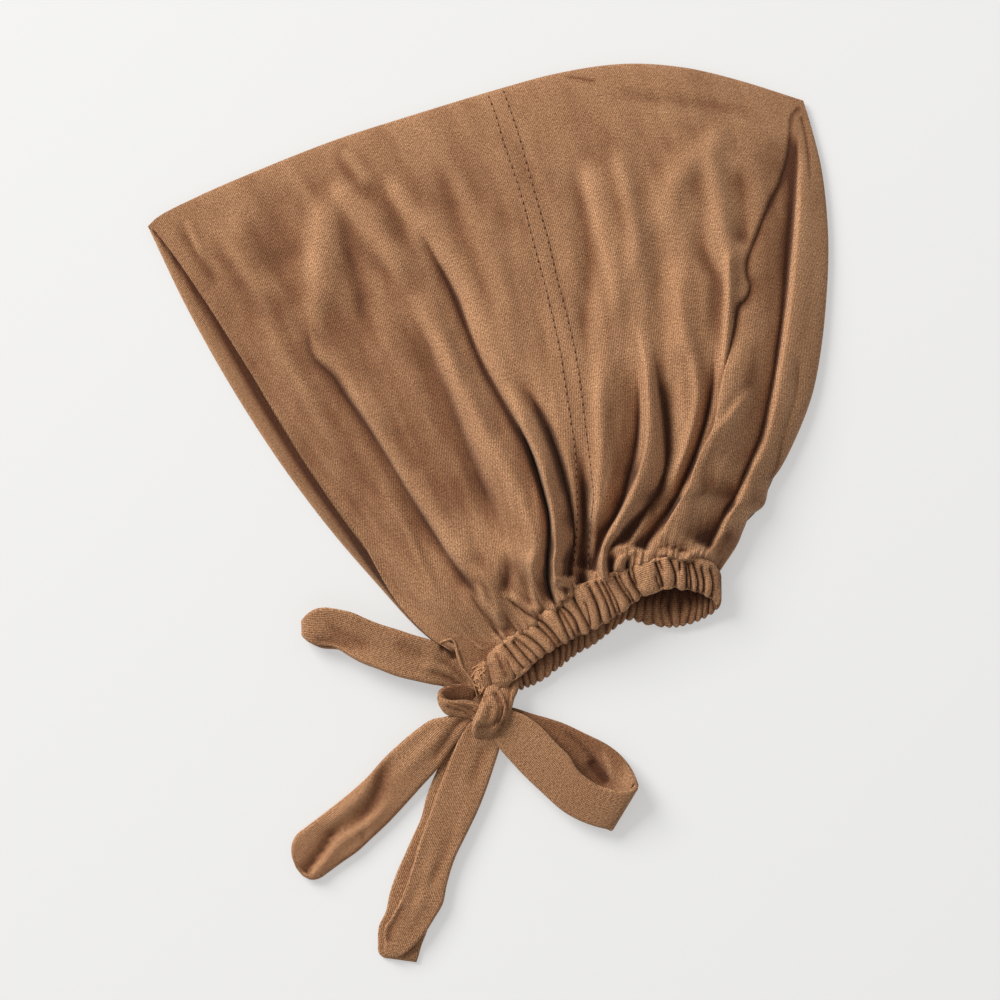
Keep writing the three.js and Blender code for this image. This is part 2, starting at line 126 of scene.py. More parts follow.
class Path:
    """A smooth line through points of any dimension, read at shares of its length."""

    def __init__(self, points, steps=24):
        points = np.asarray(points, float)
        ends = (2 * points[0] - points[1], 2 * points[-1] - points[-2])
        knots = np.vstack([ends[0], points, ends[1]])
        gaps = np.sqrt(np.maximum(np.linalg.norm(np.diff(knots, axis=0), axis=1), 1e-9))
        t = np.concatenate([[0], np.cumsum(gaps)])
        places = []
        for i in range(1, len(knots) - 2):
            u = np.linspace(t[i], t[i + 1], steps, endpoint=False)[:, None]
            p0, p1, p2, p3 = knots[i - 1:i + 3]
            t0, t1, t2, t3 = t[i - 1:i + 3]
            a1 = (t1 - u) / (t1 - t0) * p0 + (u - t0) / (t1 - t0) * p1
            a2 = (t2 - u) / (t2 - t1) * p1 + (u - t1) / (t2 - t1) * p2
            a3 = (t3 - u) / (t3 - t2) * p2 + (u - t2) / (t3 - t2) * p3
            b1 = (t2 - u) / (t2 - t0) * a1 + (u - t0) / (t2 - t0) * a2
            b2 = (t3 - u) / (t3 - t1) * a2 + (u - t1) / (t3 - t1) * a3
            places.append((t2 - u) / (t2 - t1) * b1 + (u - t1) / (t2 - t1) * b2)
        self.places = np.vstack(places + [points[-1:]])
        gone = np.linalg.norm(np.diff(self.places, axis=0), axis=1)
        self.at = np.concatenate([[0], np.cumsum(gone)])
        self.length = self.at[-1]

    def __call__(self, share):
        where = np.asarray(share, float) * self.length
        columns = [np.interp(where, self.at, column) for column in self.places.T]
        return np.stack(columns, axis=-1)


def outline(rows):
    shares = np.asarray(rows, float)
    x = TIP_PIXEL + shares[:, 0] * CAP_LENGTH / MM_PER_PIXEL
    y = NECK_PIXEL - shares[:, 1] * CAP_HEIGHT / MM_PER_PIXEL
    return Path(from_photo(np.stack([x, y], axis=-1)))


crown, back = outline(CROWN), outline(BACK)
neck_upper, neck_lower = outline(NECK_UPPER), outline(NECK_LOWER)
face_upper, face_lower = outline(FACE_UPPER), outline(FACE_LOWER)


def side(face, neck, across, up):
    """One side of the cap spread between its four edges, in plan."""
    a, u = across[..., None], up[..., None]
    edges = face(up) * (1 - a) + back(up) * a + neck(across) * (1 - u) + crown(across) * u
    corners = neck(0.0) * (1 - a) * (1 - u) + neck(1.0) * a * (1 - u)
    return edges - corners - crown(0.0) * (1 - a) * u - crown(1.0) * a * u


def parting(across, up):
    """How far the two sides part, from 0 where they meet to 1."""
    over_crown = np.sqrt(np.maximum(0, 1 - up ** CROWN_POWER))
    to_back = np.clip((across - BACK_FROM) / (1 - BACK_FROM), 0, 1)
    return over_crown * np.sqrt(np.maximum(0, 1 - to_back ** BACK_POWER))


def lift(across, up):
    raised = FACE_LIFT + (CAP_LIFT - FACE_LIFT) * smooth(across / LIFT_OVER)
    return raised * (1 - CROWN_FLAT * smooth(up))


# The folds of the upper side, charted. Each row: the height of the fold in millimetres (below nought for
# a valley), how far it spreads to the left and to the right of its line, how round it is (1 a crease, 2 a
# soft roll), the shares of its length over which it fades in and out, its line from the crown down to the
# neck in the photograph's pixels, x and y in turn, and for some how far it leans over
FOLDS = (
    # the deep valley of the gathers left of the stitching, and the rolls on both sides of it
    (-6, 6, 1.6, 1, 0.35, 0.3, (401,201, 437,262, 456,298, 470,335, 482,364, 496,390, 511,416, 528,443,
     541,484, 547,515, 549,540)),
    (-7, 1.6, 1, 1.3, 0.3, 0.12, (511,416, 528,443, 541,484, 548,512, 549,535, 547,560, 548,585, 553,600,
     560,612)),
    (2.6, 7, 5, 2, 0.3, 0.1, (410,285, 431,326, 449,363, 466,398, 484,434, 508,470, 525,510, 534,545,
     533,585)),
    (3.6, 2.4, 3.8, 2, 0.25, 0.03, (505,385, 530,430, 547,470, 555,500, 560,530, 561,558, 562,588), -2.2),
    # the valley beside the left row of stitches
    (-6.5, 2.6, 1.6, 1.1, 0.35, 0.02, (520,380, 544,420, 556,450, 565,480, 571,510, 574,541, 571,560,
     570,578)),
    # the trough between the rows
    (-5, 3.2, 3, 2.2, 0.6, 0, (573,430, 582,480, 584,520, 583,550, 583,584)),
    # the roll right of the stitching, and the steep valley that ends it
    (2.6, 4, 6, 2, 0.4, 0.15, (603,330, 601,364, 600,411, 602,459, 600,500, 595,535)),
    (-6, 7, 1.3, 1, 0.4, 0.02, (634,350, 638,404, 637,436, 634,457, 628,482, 621,507, 611,527, 603,543,
     597,557, 592,573)),
    (3.2, 2, 5, 2.2, 0.3, 0.04, (635,312, 645,350, 650,385, 651,420, 649,448, 643,472, 634,495, 622,518,
     612,535, 606,550, 604,566, 611,584), -1.8),
    # the broad valley right of that roll
    (-5.5, 1.8, 5.5, 1.2, 0.3, 0.02, (654,335, 658,372, 663,405, 666,440, 665,466, 657,490, 646,508,
     633,524, 621,539, 612,552, 612,566, 615,578)),
    (2, 3, 3, 2, 0.3, 0.2, (676,316, 692,362, 697,396, 692,428, 684,452, 673,476, 662,497)),
    (-5.5, 4.4, 1.5, 1, 0.35, 0.03, (712,335, 712,380, 707,412, 699,440, 692,460, 684,480, 675,500,
     665,517, 655,530, 646,542, 642,553)),
    (2.4, 2, 2.2, 2, 0.3, 0.05, (650,505, 640,528, 628,544, 619,557, 615,572)),
    # the broad pleat, from its lit edge to the black valley at the back
    (3.4, 1.4, 10, 2.2, 0.3, 0.05, (737,318, 732,350, 723,390, 716,428, 704,453, 696,472, 691,488,
     680,507, 670,524, 658,548), -2),
    (1.2, 2, 4, 2, 0.3, 0.3, (752,385, 740,405, 722,430, 712,442)),
    (-6.5, 5.5, 1.2, 1.1, 0.3, 0.02, (792,150, 793,198, 791,230, 788,258, 785,292, 781,325, 777,353,
     773,380, 768,404, 761,436, 752,458, 743,480, 733,500, 722,521, 713,537, 706,552)),
    (-4.5, 13, 1.2, 1.5, 0.25, 0.5, (796,128, 795,165, 793,198, 789,258, 782,325)),
    (2.6, 2, 6, 2, 0.15, 0.05, (797,125, 802,160, 802,200, 799,240, 796,275, 792,309, 787,345, 781,378,
     776,411, 765,448, 751,475, 741,502, 728,519, 716,534), -1.6),
    (-1.3, 1.6, 1.4, 1.2, 0.2, 0.1, (799,350, 795,396, 788,420, 781,444, 776,467, 764,488)),
    (-1.6, 1, 1.2, 1.2, 0.05, 0.4, (800,115, 806,143, 809,170, 810,200)),
    # the seam at the back, with the slope that falls to it
    (-2.2, 1, 3, 1, 0.02, 0.25, (801,105, 791,117, 789,138, 787,158, 779,184, 767,208, 756,236, 746,263,
     746,277, 749,286, 746,298, 737,308, 733,329, 729,350, 722,380, 717,410, 714,430)),
    (1.8, 2.2, 2.2, 2, 0.1, 0.2, (727,250, 728,285, 726,329, 724,355, 719,388)),
    # left of the gathers: the fold that runs down beside the face edge
    (-3.4, 6.5, 1.8, 1, 0.3, 0.1, (304,300, 309,335, 314,357, 333,376, 348,398, 363,419, 376,439,
     393,467, 408,492, 423,516, 445,550, 468,582, 486,604)),
    (2, 6, 7, 2, 0.3, 0.3, (326,180, 322,226, 319,267, 318,310, 322,345)),
    (1.6, 3, 7, 2, 0.3, 0.15, (326,350, 340,366, 358,398, 374,426, 391,456, 408,484, 428,515, 452,550,
     478,585)),
    (-2, 5, 8, 1.8, 0.45, 0.4, (337,196, 343,226, 352,259, 361,292, 366,325, 380,360)),
    (2, 5, 6, 2, 0.2, 0.3, (331,173, 344,198, 361,219, 377,242, 399,267, 412,290)),
    (-2.4, 9, 4, 1.6, 0.3, 0.3, (384,277, 400,296, 414,322, 427,347, 439,376, 451,406, 461,434, 477,476,
     489,501, 500,535, 502,570)),
    (-1.6, 1.8, 2.6, 1.4, 0.3, 0.1, (494,590, 510,599, 528,612, 541,627)),
    (1.4, 3, 3, 2, 0.3, 0.2, (470,560, 490,585, 497,605, 503,625)),
    (-1.6, 3, 3, 1.6, 0.4, 0.2, (505,548, 508,575, 500,598)),
    # soft hollows and swells near the crown of the front panel
    (1.3, 6, 6, 2, 0.3, 0.3, (240,195, 237,234, 246,262, 262,285, 285,315)),
    (-1.4, 10, 8, 2, 0.3, 0.3, (282,172, 276,205, 288,245, 300,280)),
    (0.8, 1.6, 1.6, 2, 0.3, 0.3, (184,216, 190,228, 196,242, 206,262)),
    (-0.9, 4, 3, 2, 0.3, 0.3, (176,218, 186,240, 200,262, 222,292)),
    (1, 3, 3, 2, 0.3, 0.3, (342,146, 352,160, 362,174, 374,188)),
    (-0.8, 4, 5, 2, 0.4, 0.4, (330,152, 346,170, 362,190, 384,214)),
    (1.4, 4, 5, 2, 0.3, 0.3, (386,172, 398,195, 416,222, 432,250)),
    (-1, 6, 6, 2, 0.3, 0.3, (430,150, 444,190, 462,240, 484,290, 505,340)),
    (1, 6, 6, 2, 0.3, 0.3, (470,190, 486,240, 502,290, 522,345)),
    (0.9, 5, 4, 2, 0.3, 0.4, (250,300, 280,350, 310,400, 345,455, 378,505)),
    (-0.3, 3.5, 3, 2, 0.2, 0.2, (200,275, 232,325, 262,374, 292,420, 330,478, 366,530, 400,580)),
    # the rolls that end at the casing
    (1.8, 1.6, 2.2, 2, 0.2, 0.2, (654,555, 662,551, 672,553, 682,556, 694,551, 704,553, 716,561), -1.6),
    (-1.6, 0.8, 1, 1, 0.2, 0.2, (654,549, 664,545, 676,548, 686,550, 696,545)),
    (1.6, 1.6, 1.6, 2, 0.3, 0.1, (628,541, 617,549, 609,558, 607,568, 612,577), -0.6),
    (-1.6, 0.8, 0.8, 1, 0.3, 0.1, (632,547, 622,553, 615,560, 613,569, 618,576)),
    (1.4, 1.4, 1.4, 2, 0.3, 0.1, (640,548, 629,553, 621,560, 620,568, 625,573)),
    (1.8, 2.4, 3, 2, 0.3, 0.05, (560,545, 559,565, 560,585, 566,600), -0.8),
    (1.6, 2.4, 2.6, 2, 0.3, 0.05, (531,545, 532,570, 534,592, 538,612)),
    (1.4, 2, 2.6, 2, 0.3, 0.1, (497,575, 504,592, 518,603, 532,615, 541,628), -0.8),
    (-3.2, 0.8, 2.4, 1.1, 0.25, 0, (504,597, 511,599, 519,605, 527,611, 535,616, 546,627)),
    (1.8, 2.4, 1.2, 2, 0.25, 0.1, (508,592, 517,598, 527,606, 536,612, 546,622)),
    (1.3, 1.8, 1.8, 2, 0.3, 0.1, (476,578, 484,596, 494,612, 506,628)),
    (-1.4, 1.2, 1.4, 1.2, 0.3, 0.1, (468,590, 480,608, 492,622, 500,636)),
    (1.2, 1.8, 1.8, 2, 0.3, 0.1, (740,500, 728,520, 716,538, 709,552)),
    # the crease at the top of the crown, and the fold that follows it
    (-1.2, 1.4, 1, 1.2, 0.3, 0.3, (560,76, 570,78, 584,80, 602,84)),
    (-0.8, 4, 4, 2, 0.3, 0.3, (600,90, 660,100, 720,108, 770,118)),
    # the long soft folds of the back panel
    (-1.3, 5, 4, 2, 0.4, 0.4, (566,150, 572,180, 583,224, 588,267, 586,318, 584,370)),
    (1.8, 3.6, 7, 2, 0.25, 0.3, (581,155, 591,191, 600,224, 608,258, 614,290, 612,330)),
    (1.8, 4, 4, 2, 0.25, 0.3, (613,140, 625,189, 632,224, 636,258, 634,290)),
    (-1.9, 5, 6, 2, 0.45, 0.5, (643,150, 651,198, 657,232, 660,267, 659,301, 662,350, 666,400)),
    (1.6, 7, 6, 2, 0.3, 0.4, (708,112, 706,140, 690,162, 672,186, 666,220, 668,255)),
    (2.2, 4.5, 4.5, 2, 0.2, 0.3, (718,118, 712,164, 721,215, 728,262, 728,310)),
    (-1.2, 4, 3, 2, 0.5, 0.5, (706,172, 702,206, 700,240, 706,262, 716,284, 717,325, 713,370)),
    (-1.6, 6, 4, 2, 0.3, 0.2, (735,160, 741,195, 743,230, 740,255)),
    (1.2, 5, 5, 2, 0.3, 0.2, (682,250, 681,290, 681,330, 686,365)),
)

# Painted shade on the upper side, and painted light where a row is below nought: rows as above, in shares
# of the deepest painted shade
SHADED = (
    (0.26, 45, 45, 2, 0.1, 0.1, (230,215, 300,300, 380,430, 440,550)),
    (-0.3, 34, 40, 2, 0.1, 0.2, (655,190, 660,300, 660,400, 650,480)),
    (-0.3, 14, 14, 2, 0.1, 0.2, (812,200, 812,300, 800,400, 770,470)),
    (0.5, 14, 4, 2, 0.1, 0.2, (792,130, 788,180, 780,230, 772,275, 768,310, 764,345)),
    (0.35, 3, 3, 2, 0.3, 0.3, (758,330, 750,370, 742,400)),
    (0.35, 6, 6, 2, 0.3, 0.3, (621,190, 626,225, 629,262)),
    (0.35, 8, 5, 2, 0.3, 0.3, (694,205, 700,245, 708,300, 704,370)),
    (0.16, 22, 22, 2, 0.3, 0.3, (430,140, 470,200, 510,270)),
    (-0.4, 5, 5, 2, 0.3, 0.3, (586,154, 596,192, 608,232, 624,268)),
    (-0.4, 5, 6, 2, 0.3, 0.3, (718,118, 712,164, 720,220, 727,268)),
    (-0.35, 9, 9, 2, 0.3, 0.3, (322,190, 318,250, 316,300)),
    (-0.4, 6, 5, 2, 0.3, 0.3, (402,190, 436,250, 470,320, 496,375)),
    (-0.35, 9, 9, 2, 0.3, 0.3, (440,300, 470,350, 500,420, 520,480, 530,560)),
)
SOFT_FROM = 1.5
LINE_STEPS = 60
FELT_TO = 4  # times its spread, from a fold's line
BLUNTNESS = 0.01
LEAST_FADE = 0.001


def relief(plan, chart, soft=1.0):
    """The height that the folds of a chart give at points of the plan, and how far they lean over
    to the side, in millimetres. Folds rounder than SOFT_FROM are taken soft times as high."""
    flat = plan.reshape(-1, 2)
    height, shift = np.zeros(len(flat)), np.zeros((len(flat), 2))
    for tall, left, right, roundness, fade_in, fade_out, line, *lean in chart:
        tall = tall * (soft if roundness > SOFT_FROM else 1.0)
        path = Path(from_photo(pairs(line)))
        shares = np.linspace(0, 1, LINE_STEPS)
        places = path(shares)
        ahead = unit(np.gradient(places, axis=0))
        reach = FELT_TO * max(left, right)
        low, high = places.min(axis=0) - reach, places.max(axis=0) + reach
        near = np.where(np.all((flat > low) & (flat < high), axis=1))[0]
        if not len(near):
            continue
        away = flat[near, None, :] - places[None, :, :]
        nearest = np.argmin((away ** 2).sum(axis=2), axis=1)
        offset = away[np.arange(len(near)), nearest]
        along = ahead[nearest]
        across = along[:, 0] * offset[:, 1] - along[:, 1] * offset[:, 0]
        share = shares[nearest] + (offset * along).sum(axis=1) / path.length
        beyond = np.maximum(0, np.maximum(-share, share - 1)) * path.length
        spread = np.where(across > 0, right, left)
        away_from_end = beyond / max(left, right)
        distance = np.sqrt((across / spread) ** 2 + away_from_end ** 2 + BLUNTNESS)
        fade = smooth(share / max(fade_in, LEAST_FADE))
        fade = fade * smooth((1 - share) / max(fade_out, LEAST_FADE))
        form = fade * np.exp(-(distance ** roundness))
        height[near] += tall * form
        for over in lean:
            shift[near] += over * form[:, None] * np.stack([-along[:, 1], along[:, 0]], axis=1)
    return height.reshape(plan.shape[:-1]), shift.reshape(plan.shape)


LATTICE_SIZE = 128
LATTICE = np.random.RandomState(SEED).uniform(-1, 1, (LATTICE_SIZE, LATTICE_SIZE))


def noise(x, y):
    """Smooth noise from -1 to 1 over a plane, one swell to each unit."""
    column, row = np.floor(x).astype(int), np.floor(y).astype(int)
    a, b = smooth(x - column), smooth(y - row)

    def value(i, j):
        return LATTICE[(row + j) % LATTICE_SIZE, (column + i) % LATTICE_SIZE]

    low = value(0, 0) * (1 - a) + value(1, 0) * a
    high = value(0, 1) * (1 - a) + value(1, 1) * a
    return low * (1 - b) + high * b


# Small folds that run with the gathers: height, width, where the pattern starts, length, slant
WRINKLES = ((1.3, 21, 5, 60, 0), (0.7, 12, 60, 26, 1 / 40), (0.6, 8, 0, 46, 0),
            (0.35, 4.6, 40, 30, 0), (0.16, 3.3, 11, 6, 0))
NECK_WRINKLES = ((1.3, 2.6, 70, 30, 0),)
NECK_WRINKLES_OVER = 14


def swells(rows, x, y):
    return sum(tall * noise(x / width + start, y / length + x * slant)
               for tall, width, start, length, slant in rows)


def wrinkles(across, up):
    x, y = across * CAP_LENGTH, up * CAP_HEIGHT
    return swells(WRINKLES, x, y) + swells(NECK_WRINKLES, x, y) * np.exp(-y / NECK_WRINKLES_OVER)


def grid_faces(index):
    """Quads between the rows of a grid of vertex numbers."""
    quads = np.stack([index[:-1, :-1], index[:-1, 1:], index[1:, 1:], index[1:, :-1]], axis=-1)
    return quads.reshape(-1, 4)


def tube_faces(index):
    """Quads between the rings of a tube, one ring to each row of vertex numbers."""
    after = np.roll(index, -1, axis=1)
    return np.stack([index[:-1], index[1:], after[1:], after[:-1]], axis=-1).reshape(-1, 4)


def make_mesh(name, places, faces, uvs, painted_shading):
    """A smooth-shaded object from places in millimetres, faces, and for each vertex a uv and its painted
    shading, from 0, painted highlight on a ridge, over 0.5 to 1, painted shade in a valley."""
    mesh = bpy.data.meshes.new(name)
    mesh.from_pydata((np.asarray(places) * MM).tolist(), [], [list(map(int, f)) for f in faces])
    mesh.polygons.foreach_set("use_smooth", [True] * len(mesh.polygons))
    layer = mesh.uv_layers.new(name="cloth")
    loops = np.zeros(len(mesh.loops), int)
    mesh.loops.foreach_get("vertex_index", loops)
    layer.data.foreach_set("uv", np.asarray(uvs, float)[loops].ravel())
    # Painted shading of each vertex: painted shade in the hollows, painted highlight on the ridges
    shade = mesh.attributes.new("painted_shading", "FLOAT", "POINT")
    shade.data.foreach_set("value", np.asarray(painted_shading, float))
    mesh.validate()
    mesh.update()
    piece = bpy.data.objects.new(name, mesh)
    bpy.context.scene.collection.objects.link(piece)
    return piece


UPPER_ROWS = 230
LOWER_ROWS = 60
PANEL_COLUMNS = 290
# Columns lie closer together at the face edge and at the back
FRONT_BUNCHING = 1.2
BACK_BUNCHING = 1.3
FOLD_SCALE = 1.5
SOFT_GAIN = 1.3
# Where the sides part, the cloth rises at least so high above the edge, and the edges close over
# this share of the parting
LEAST_RISE = 1.0
CLOSES_OVER = 1 / 3
# Near the neck the cloth takes its height from the casing's near edge, by so much above it, up to
# this share of the height, and keeps this share of its folds
NECK_ABOVE_CASING = 1.8
NECK_HOLD = 0.14
NECK_RELIEF = 0.85
NECK_PARTING = 0.4
NEAR_EDGE_ROWS = 13
# The lip behind the casing's top edge: how far beyond the neck edge, and how far it has sunk
LIP = ((3.8, 5.6), (3.2, 3.7), (2.6, 2.3), (2.0, 1.3), (1.4, 0.6), (0.8, 0.2), (0.4, 0.05))
LIP_AWAY_FROM_ROW = 6
FACE_SAG = 5.5
FACE_SAG_OVER = 0.1
FACE_ROUND = 1.1
FACE_DROP = 0.8
CLEAR_OF_FLOOR = 0.4
LOWER_SIDE_HEIGHT = 0.3
# The turned hem at the face edge: how far in from the edge, and how far from the outer layer, for
# the upper side and for the lower one
HEM_ABOVE = (
    (12, 1.9), (9, 1.9), (6, 1.9), (3, 1.9), (1.6, 1.85), (0.9, 1.75), (0.3, 1.5), (-0.1, 1.1),
    (-0.2, 0.6),
)
HEM_BELOW = (
    (12, 0.6), (9, 0.7), (6.4, 0.8), (4.6, 1.1), (2.8, 1.6), (1.4, 2), (0.4, 1.8), (-0.1, 1.2),
    (-0.2, 0.5),
)
HEM_WIDTH = 12
HEM_ROLL = 1
# How deep a painted shade the lower one takes, from its own edge to under the upper one's
HEM_SHADE = ((0.0, 0.3), (0.4, 0.42), (0.65, 0.62), (0.85, 1.0))
LEAST_IN_SIGHT = 0.5
# Painted shade and painted highlight: hollows and ridges are found against the cloth around them, so many
# rows and columns away, and a hollow so many millimetres deep is painted in the deepest shade
PAINTED_SHADE_REACH = (5, 12)
PAINTED_SHADE_DEPTH = 2.13


def seam(up):
    return SEAM_AT_NECK + (SEAM_AT_CROWN - SEAM_AT_NECK) * smooth(up * SEAM_BEND)


def blurred(values, reach):
    """A grid of values smoothed over a square of cells around each."""
    span = 2 * reach + 1
    for axis in (0, 1):
        pad = [(0, 0), (0, 0)]
        pad[axis] = (reach, reach)
        total = np.cumsum(np.pad(values, pad, mode="edge"), axis=axis)
        total = np.insert(total, 0, 0, axis=axis)
        high = np.take(total, range(span, total.shape[axis]), axis=axis)
        low = np.take(total, range(0, total.shape[axis] - span), axis=axis)
        values = (high - low) / span
    return values


# Grooves of the casing deeper than this run up into the cap, at this share of their depth, by
# these steps in pixels above the casing's edge
GATHER_FROM = -2.3
GATHER_SHARE = 0.1
GATHER_STEPS = (14, 9, 4, 0, -8)


def neck_gathers():
    rows = []
    for depth, *_, line in GROOVES:
        if depth <= GATHER_FROM:
            top, below = pairs(line)[:2].astype(float)
            steps = [top + unit(top - below) * step for step in GATHER_STEPS]
            rows.append((depth * GATHER_SHARE, 0.7, 0.6, 1.2, 0.9, 0, steps))
    return rows


def with_lip(across, up, plan):
    """Adds the rows of cloth that dip behind the casing's top edge."""
    out = unit(plan[0] - plan[LIP_AWAY_FROM_ROW])
    away, sunk = np.array(LIP).T[..., None]
    lip = plan[0] + out * away[..., None]
    across = np.concatenate([np.repeat(across[:1], len(LIP), axis=0), across])
    sunk = np.concatenate([np.broadcast_to(sunk, (len(LIP), up.shape[1])), np.zeros_like(up)])
    up = np.concatenate([np.broadcast_to(-away / CAP_HEIGHT, (len(LIP), up.shape[1])), up])
    return across, up, np.concatenate([lip, plan]), sunk


def neck_level(plan):
    """How high the casing holds the cloth at the neck, in millimetres."""
    near = np.array([row[:3] for row in CASING[:NEAR_EDGE_ROWS]])
    level = np.interp(plan[..., 0], from_photo(near[:, :2])[:, 0], near[:, 2])
    return level + NECK_ABOVE_CASING


def upper_sheet(across, up):
    """The plan, heights, shares across and up, and painted shading of the upper side of a panel: painted
    shade in its hollows, painted shade and light along the strokes of SHADED, painted highlight on its
    ridges.
    """
    plan = side(face_upper, neck_upper, across, up)
    across, up, plan, sunk = with_lip(across, up, plan)
    over_neck = np.maximum(up, 0)
    open_by = parting(across, over_neck)
    rise, lean = relief(plan, FOLDS, SOFT_GAIN)
    close, _ = relief(plan, neck_gathers())
    rise = rise * FOLD_SCALE + close + wrinkles(across, over_neck)
    face_sag = FACE_SAG * (1 - smooth(across / FACE_SAG_OVER))
    free = np.maximum(lift(across, over_neck) - face_sag + rise, LEAST_RISE) * open_by
    level = neck_level(plan) - EDGE_RADIUS + NECK_RELIEF * rise
    held = np.maximum(level, LEAST_RISE) * open_by ** NECK_PARTING
    height = EDGE_RADIUS + free + (held - free) * (1 - smooth(up / NECK_HOLD)) - sunk
    to_edge = np.clip(across * crown.length / FACE_ROUND, 0, 1)
    drop = FACE_DROP * (1 - np.sqrt(1 - (1 - to_edge) ** 2))
    height = height - drop * np.minimum(1, open_by / CLOSES_OVER)
    height = np.maximum(height, CLEAR_OF_FLOOR)
    plan = plan + lean * open_by[..., None]
    # Painted shade where the cloth lies lower than the cloth around it, painted highlight where it stands
    # higher, plus the painted strokes of SHADED
    painted_shading = sum(blurred(rise, reach) - rise for reach in PAINTED_SHADE_REACH) / len(PAINTED_SHADE_REACH)
    painted_shading = painted_shading / PAINTED_SHADE_DEPTH + relief(plan, SHADED)[0]
    return plan, height, across, up, np.clip(painted_shading, -1, 1)


def lower_sheet(across, up):
    """The same for the lower side, which lies on the surface below."""
    open_by = parting(across, up)
    closed = side(face_upper, neck_upper, across, up)
    plan = np.where(open_by[..., None] == 0, closed, side(face_lower, neck_lower, across, up))
    flat = np.minimum(1, open_by * lift(across, up) / EDGE_RADIUS)
    height = EDGE_RADIUS * (1 - flat) + LOWER_SIDE_HEIGHT * flat
    return plan, height, across, up, np.zeros_like(up)


def with_hem(places, u, v, painted_shade_signed, above, way_in_from_face):
    """Adds the columns of the hem, turned in behind the face edge of the front panel."""
    is_above = np.arange(len(v)) < above
    up = np.minimum(v[:, 0] / CAP_HEIGHT, 2 - v[:, 0] / CAP_HEIGHT)
    up = np.clip(up, 0, 1)
    in_sight = np.linalg.norm(face_upper(up) - face_lower(up), axis=1)
    opening = smooth(parting(0, up) / CLOSES_OVER)
    columns, columns_u, shaded = [], [], []
    for (away, sunk), (away_below, raised) in zip(HEM_ABOVE, HEM_BELOW):
        way_in = np.where(is_above, away, away_below)
        column = np.array([
            [np.interp(abs(way), ways, axis) for axis in row.T]
            for way, ways, row in zip(way_in, way_in_from_face, places)
        ])
        back_out = (np.abs(way_in) - way_in)[:, None]
        column = column - unit(places[:, 1] - places[:, 0]) * back_out
        column[:, 2] = np.where(way_in < HEM_ROLL, places[:, 0, 2], column[:, 2])
        column[:, 2] += np.where(is_above, -sunk, raised) * opening
        columns.append(column)
        columns_u.append(u[:, 0] - way_in - HEM_WIDTH)
        # Painted shade on the lower side's hem, deeper the further under the upper side it lies
        shade = np.interp(np.abs(way_in) / np.maximum(in_sight, LEAST_IN_SIGHT), *zip(*HEM_SHADE))
        shaded.append(np.where(is_above, painted_shade_signed[:, 0], 2 * shade - 1))
    columns_v = np.repeat(v[:, :1], len(HEM_ABOVE), axis=1)
    added = (np.stack(columns, axis=1), np.stack(columns_u, axis=1), columns_v,
             np.stack(shaded, axis=1))
    return [np.concatenate(both, axis=1) for both in zip(added, (places, u, v, painted_shade_signed))]


def panel(name, behind):
    """A panel's cloth: its upper side, the fold at the crown and its lower side, as one sheet.
    The front panel reaches from the face edge, where its hem is turned in, to the seam, and the
    one behind from there to the back, where it is closed."""
    share = np.linspace(0, 1, PANEL_COLUMNS)
    share = 1 - (1 - share) ** BACK_BUNCHING if behind else share ** FRONT_BUNCHING
    upper_up = np.sin(np.linspace(0, math.pi / 2, UPPER_ROWS))
    lower_up = np.sin(np.linspace(math.pi / 2, 0, LOWER_ROWS))[1:]
    sheets = []
    for rows, sheet in ((upper_up, upper_sheet), (lower_up, lower_sheet)):
        way, up = np.meshgrid(share, rows)
        sheets.append(sheet(seam(up) + (1 - seam(up)) * way if behind else seam(up) * way, up))
    plan, height, across, up, painted_shade_signed = (np.concatenate(both) for both in zip(*sheets))
    places = np.concatenate([plan, height[..., None]], axis=-1)
    steps = np.linalg.norm(np.diff(plan, axis=1), axis=2)
    u = np.cumsum(np.insert(steps, 0, 0, axis=1), axis=1)
    u = u - (0 if behind else u[:, -1:])
    above = len(sheets[0][0])
    v = np.concatenate([up[:above], 2 - up[above:]]) * CAP_HEIGHT
    if not behind:
        places, u, v, painted_shade_signed = with_hem(places, u, v, painted_shade_signed, above, across * crown.length)
    uv = np.stack([u, v], axis=-1).reshape(-1, 2)
    faces = grid_faces(np.arange(u.size).reshape(u.shape))
    piece = make_mesh(name, places.reshape(-1, 3), faces, uv, (0.5 + 0.5 * painted_shade_signed).ravel())
    if behind:
        weld(piece)
    return piece


def weld(piece):
    """Joins the vertices that a closed edge holds twice."""
    work = bmesh.new()
    work.from_mesh(piece.data)
    bmesh.ops.remove_doubles(work, verts=work.verts, dist=WELD_DISTANCE * MM)
    work.to_mesh(piece.data)
    work.free()


WELD_DISTANCE = 0.01
# How much painted shade a millimetre of pushing in gives a band, and painted light pushing out, and the
# least painted shading
PAINTED_SHADE_PER_MM = 0.19
LEAST_PAINTED_SHADE = 0.15
LOWEST_BAND = 0.05
END_OPENING = 0.03  # squared, as a share of a band's thickness
# Where a band's faces lie on the woven pattern: its under side, and from shell to shell
UNDER_SIDE_U = 40
SHELL_U = 90


def edge_places(rows):
    return np.concatenate([from_photo(rows[:, :2]), rows[:, 2:3]], axis=1)


